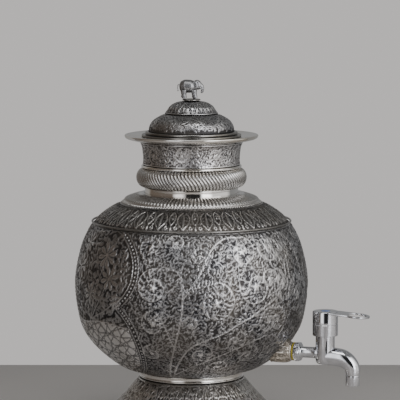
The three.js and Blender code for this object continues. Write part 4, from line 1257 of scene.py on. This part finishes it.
skirt_shape = outline_shape([
    (0.0, skirt_bottom + 14), (skirt_r - 2.2, skirt_bottom + 14), (skirt_r - 2.2, skirt_bottom + 0.4),
    (skirt_r - 1.9, skirt_bottom), (skirt_r - 0.5, skirt_bottom), (skirt_r, skirt_bottom + 0.6),
    (skirt_r, skirt_bottom + 16), (skirt_r - 0.35, skirt_bottom + 16.4),
    (skirt_r - 0.35, skirt_bottom + 17.2), (skirt_r, skirt_bottom + 17.6),
    (skirt_r, skirt_top - 1.4), (skirt_r - 0.5, skirt_top - 0.5),
    (skirt_r - 1.4, skirt_top), (7.2, skirt_top), (7.0, skirt_top - 0.2), (7.0, skirt_top - 1.3),
    (0.0, skirt_top - 1.3)], 120, on_tap)
lever = joined("finger_lever", [skirt_shape, plate_shape], chrome, "lever", 35)
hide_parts("tap_lever")

cap_r = (cap_high[1] - cap_low[1]) / 2 / MM
cap_bottom, cap_top = cap_low[2] / MM, cap_high[2] / MM
index_blue, run, join = new_finish("index_blue", 0.0, Coat_Weight=0.6, Coat_Roughness=0.08)
swirl = run.noise(300, 2)
join(Base_Color=swirl.mix((0.03, 0.09, 0.32), (0.09, 0.2, 0.5)), Roughness=swirl.spread(0.3, 0.7, 0.25, 0.4))
cap = turned("index_button", [(0.0, cap_bottom), (cap_r, cap_bottom), (cap_r, cap_top - 0.8),
                              *[(cap_r * math.cos(a), cap_top - 0.8 + 0.8 * math.sin(a))
                                for a in np.radians((15, 30, 45, 60, 75))], (0.0, cap_top)], 64, index_blue,
             "lever", place=on_tap, crease=50)
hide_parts("index_cap")

# ---- Pieces out of sight ------------------------------------------------------------------------
# Base plate and felt under the foot, the fixings inside the lid and the headwork inside the tap keep
# the shapes they were turned to, each in the finish of its own stuff.


def plain_finish(name, low, high, roughness, metallic=0.0, per_metre=400, strength=0.3):
    material, run, join = new_finish(name, metallic)
    grain_ = run.noise(per_metre, 3)
    join(Base_Color=grain_.spread(0.3, 0.7).mix(low, high),
         Roughness=grain_.spread(0.3, 0.7, roughness - 0.06, roughness + 0.08),
         Normal=bumped(run, grain_, strength, 0.2))
    return material


brass = plain_finish("brass", (0.6, 0.44, 0.19), (0.78, 0.6, 0.3), 0.3, 1.0)
steel = plain_finish("steel", (0.5, 0.5, 0.49), (0.66, 0.66, 0.65), 0.28, 1.0)
ceramic = plain_finish("ceramic", (0.74, 0.72, 0.66), (0.85, 0.83, 0.78), 0.35)
rubber = plain_finish("rubber", (0.012, 0.012, 0.012), (0.03, 0.03, 0.03), 0.7)
felt = plain_finish("felt", (0.018, 0.035, 0.022), (0.05, 0.08, 0.055), 0.9, per_metre=1500, strength=0.8)
out_of_sight = {
    "base_felt": felt, "base_plate": satin_silver, "finial_stud": brass, "finial_washer": brass,
    "finial_nut": brass, "seat_seal": rubber, "fixed_disc": ceramic, "moving_disc": ceramic,
    "cartridge_body": brass, "spindle_o_ring": rubber, "spindle": brass, "handle_screw": steel,
}
for node, finish in out_of_sight.items():
    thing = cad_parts[node]
    for material_slot in thing.material_slots:
        material_slot.material = finish

# ---- Table and studio ---------------------------------------------------------------------------
# A plain pale table top, soft lamps to the right and overhead, and a room of light and dark zones
# round the pot that gives the bright metal its reflections.

table_points = [(x, y, z) for z in (0, -30)
                for x, y in ((-1500, -1500), (1500, -1500), (1500, 450), (-1500, 450))]
table_faces = [(0, 1, 2, 3), (7, 6, 5, 4), (0, 4, 5, 1), (1, 5, 6, 2), (2, 6, 7, 3), (3, 7, 4, 0)]
table = mesh_piece("table", table_points, table_faces, None, None)
table.rotation_euler = (0, 0, view_turn)
stone, run, join = new_finish("table_top", 0.0)
cloud = run.noise(3, 4)
join(Base_Color=cloud.spread(0.3, 0.7).mix((0.68, 0.645, 0.62), (0.78, 0.745, 0.715)),
     Roughness=cloud.spread(0.3, 0.7, 0.3, 0.4))
table.data.materials.append(stone)


def lamp(name, degrees_right, rise, distance, size, power, tint=(1, 1, 1)):
    """A soft square lamp, placed by how far to the camera's right it stands and how high."""
    data = bpy.data.lights.new(name, "AREA")
    data.shape = "RECTANGLE"
    data.size, data.size_y = size
    data.energy = power
    data.color = tint
    made = bpy.data.objects.new(name, data)
    angle, rise = math.radians(degrees_right - 90) + view_turn, math.radians(rise)
    way = Vector((math.cos(angle) * math.cos(rise), math.sin(angle) * math.cos(rise), math.sin(rise)))
    made.location = Vector((0, 0, 0.25)) + distance * way
    made.rotation_euler = way.to_track_quat("Z", "Y").to_euler()
    bpy.context.scene.collection.objects.link(made)


lamp("window_right", 62, 26, 2.2, (1.2, 1.4), 6)
lamp("overhead", 0, 66, 2.2, (1.2, 0.8), 8)

room = bpy.data.worlds.new("room")
room.use_nodes = True
run = Run(room.node_tree)
sky = room.node_tree.nodes["Background"]
way = run.node("ShaderNodeTexCoord", output=0)
parts = run.node("ShaderNodeSeparateXYZ", None, {0: way})
east, north, steepness = (Run(room.node_tree, parts.socket.node.outputs[k]) for k in range(3))
toward = east * math.sin(view_turn) - north * math.cos(view_turn)
rightward = east * math.cos(view_turn) + north * math.sin(view_turn)
round_room = run.node("ShaderNodeMath", {"operation": "ARCTAN2"}, {0: rightward, 1: toward})
# Degrees to the viewer's right, and the colour of the room there.
zones = ((-180, (0.05, 0.05, 0.05)), (-130, (0.055, 0.053, 0.051)), (-120, (0.024, 0.02, 0.017)),
         (-48, (0.026, 0.022, 0.019)), (-38, (0.26, 0.26, 0.265)), (-24, (0.26, 0.26, 0.265)),
         (-12, (0.004, 0.004, 0.004)), (22, (0.004, 0.004, 0.004)), (30, (0.66, 0.67, 0.7)),
         (44, (0.66, 0.66, 0.68)), (54, (0.16, 0.158, 0.155)), (98, (0.15, 0.147, 0.143)),
         (112, (0.04, 0.04, 0.04)), (180, (0.05, 0.05, 0.05)))
stops = [((degrees + 180) / 360, tint) for degrees, tint in zones]
walls = run.node("ShaderNodeValToRGB", {"stops": stops}, {"Fac": round_room.spread(-math.pi, math.pi)})
ceiling = steepness.spread(0.62, 0.85)
lit = ceiling.mix(walls, (0.033, 0.033, 0.032))
seen = run.node("ShaderNodeLightPath", output=0)
colour = seen.mix(lit, (0.1, 0.0967, 0.0947))
room.node_tree.links.new(colour.socket, sky.inputs["Color"])
sky.inputs["Strength"].default_value = 6.0
bpy.context.scene.world = room
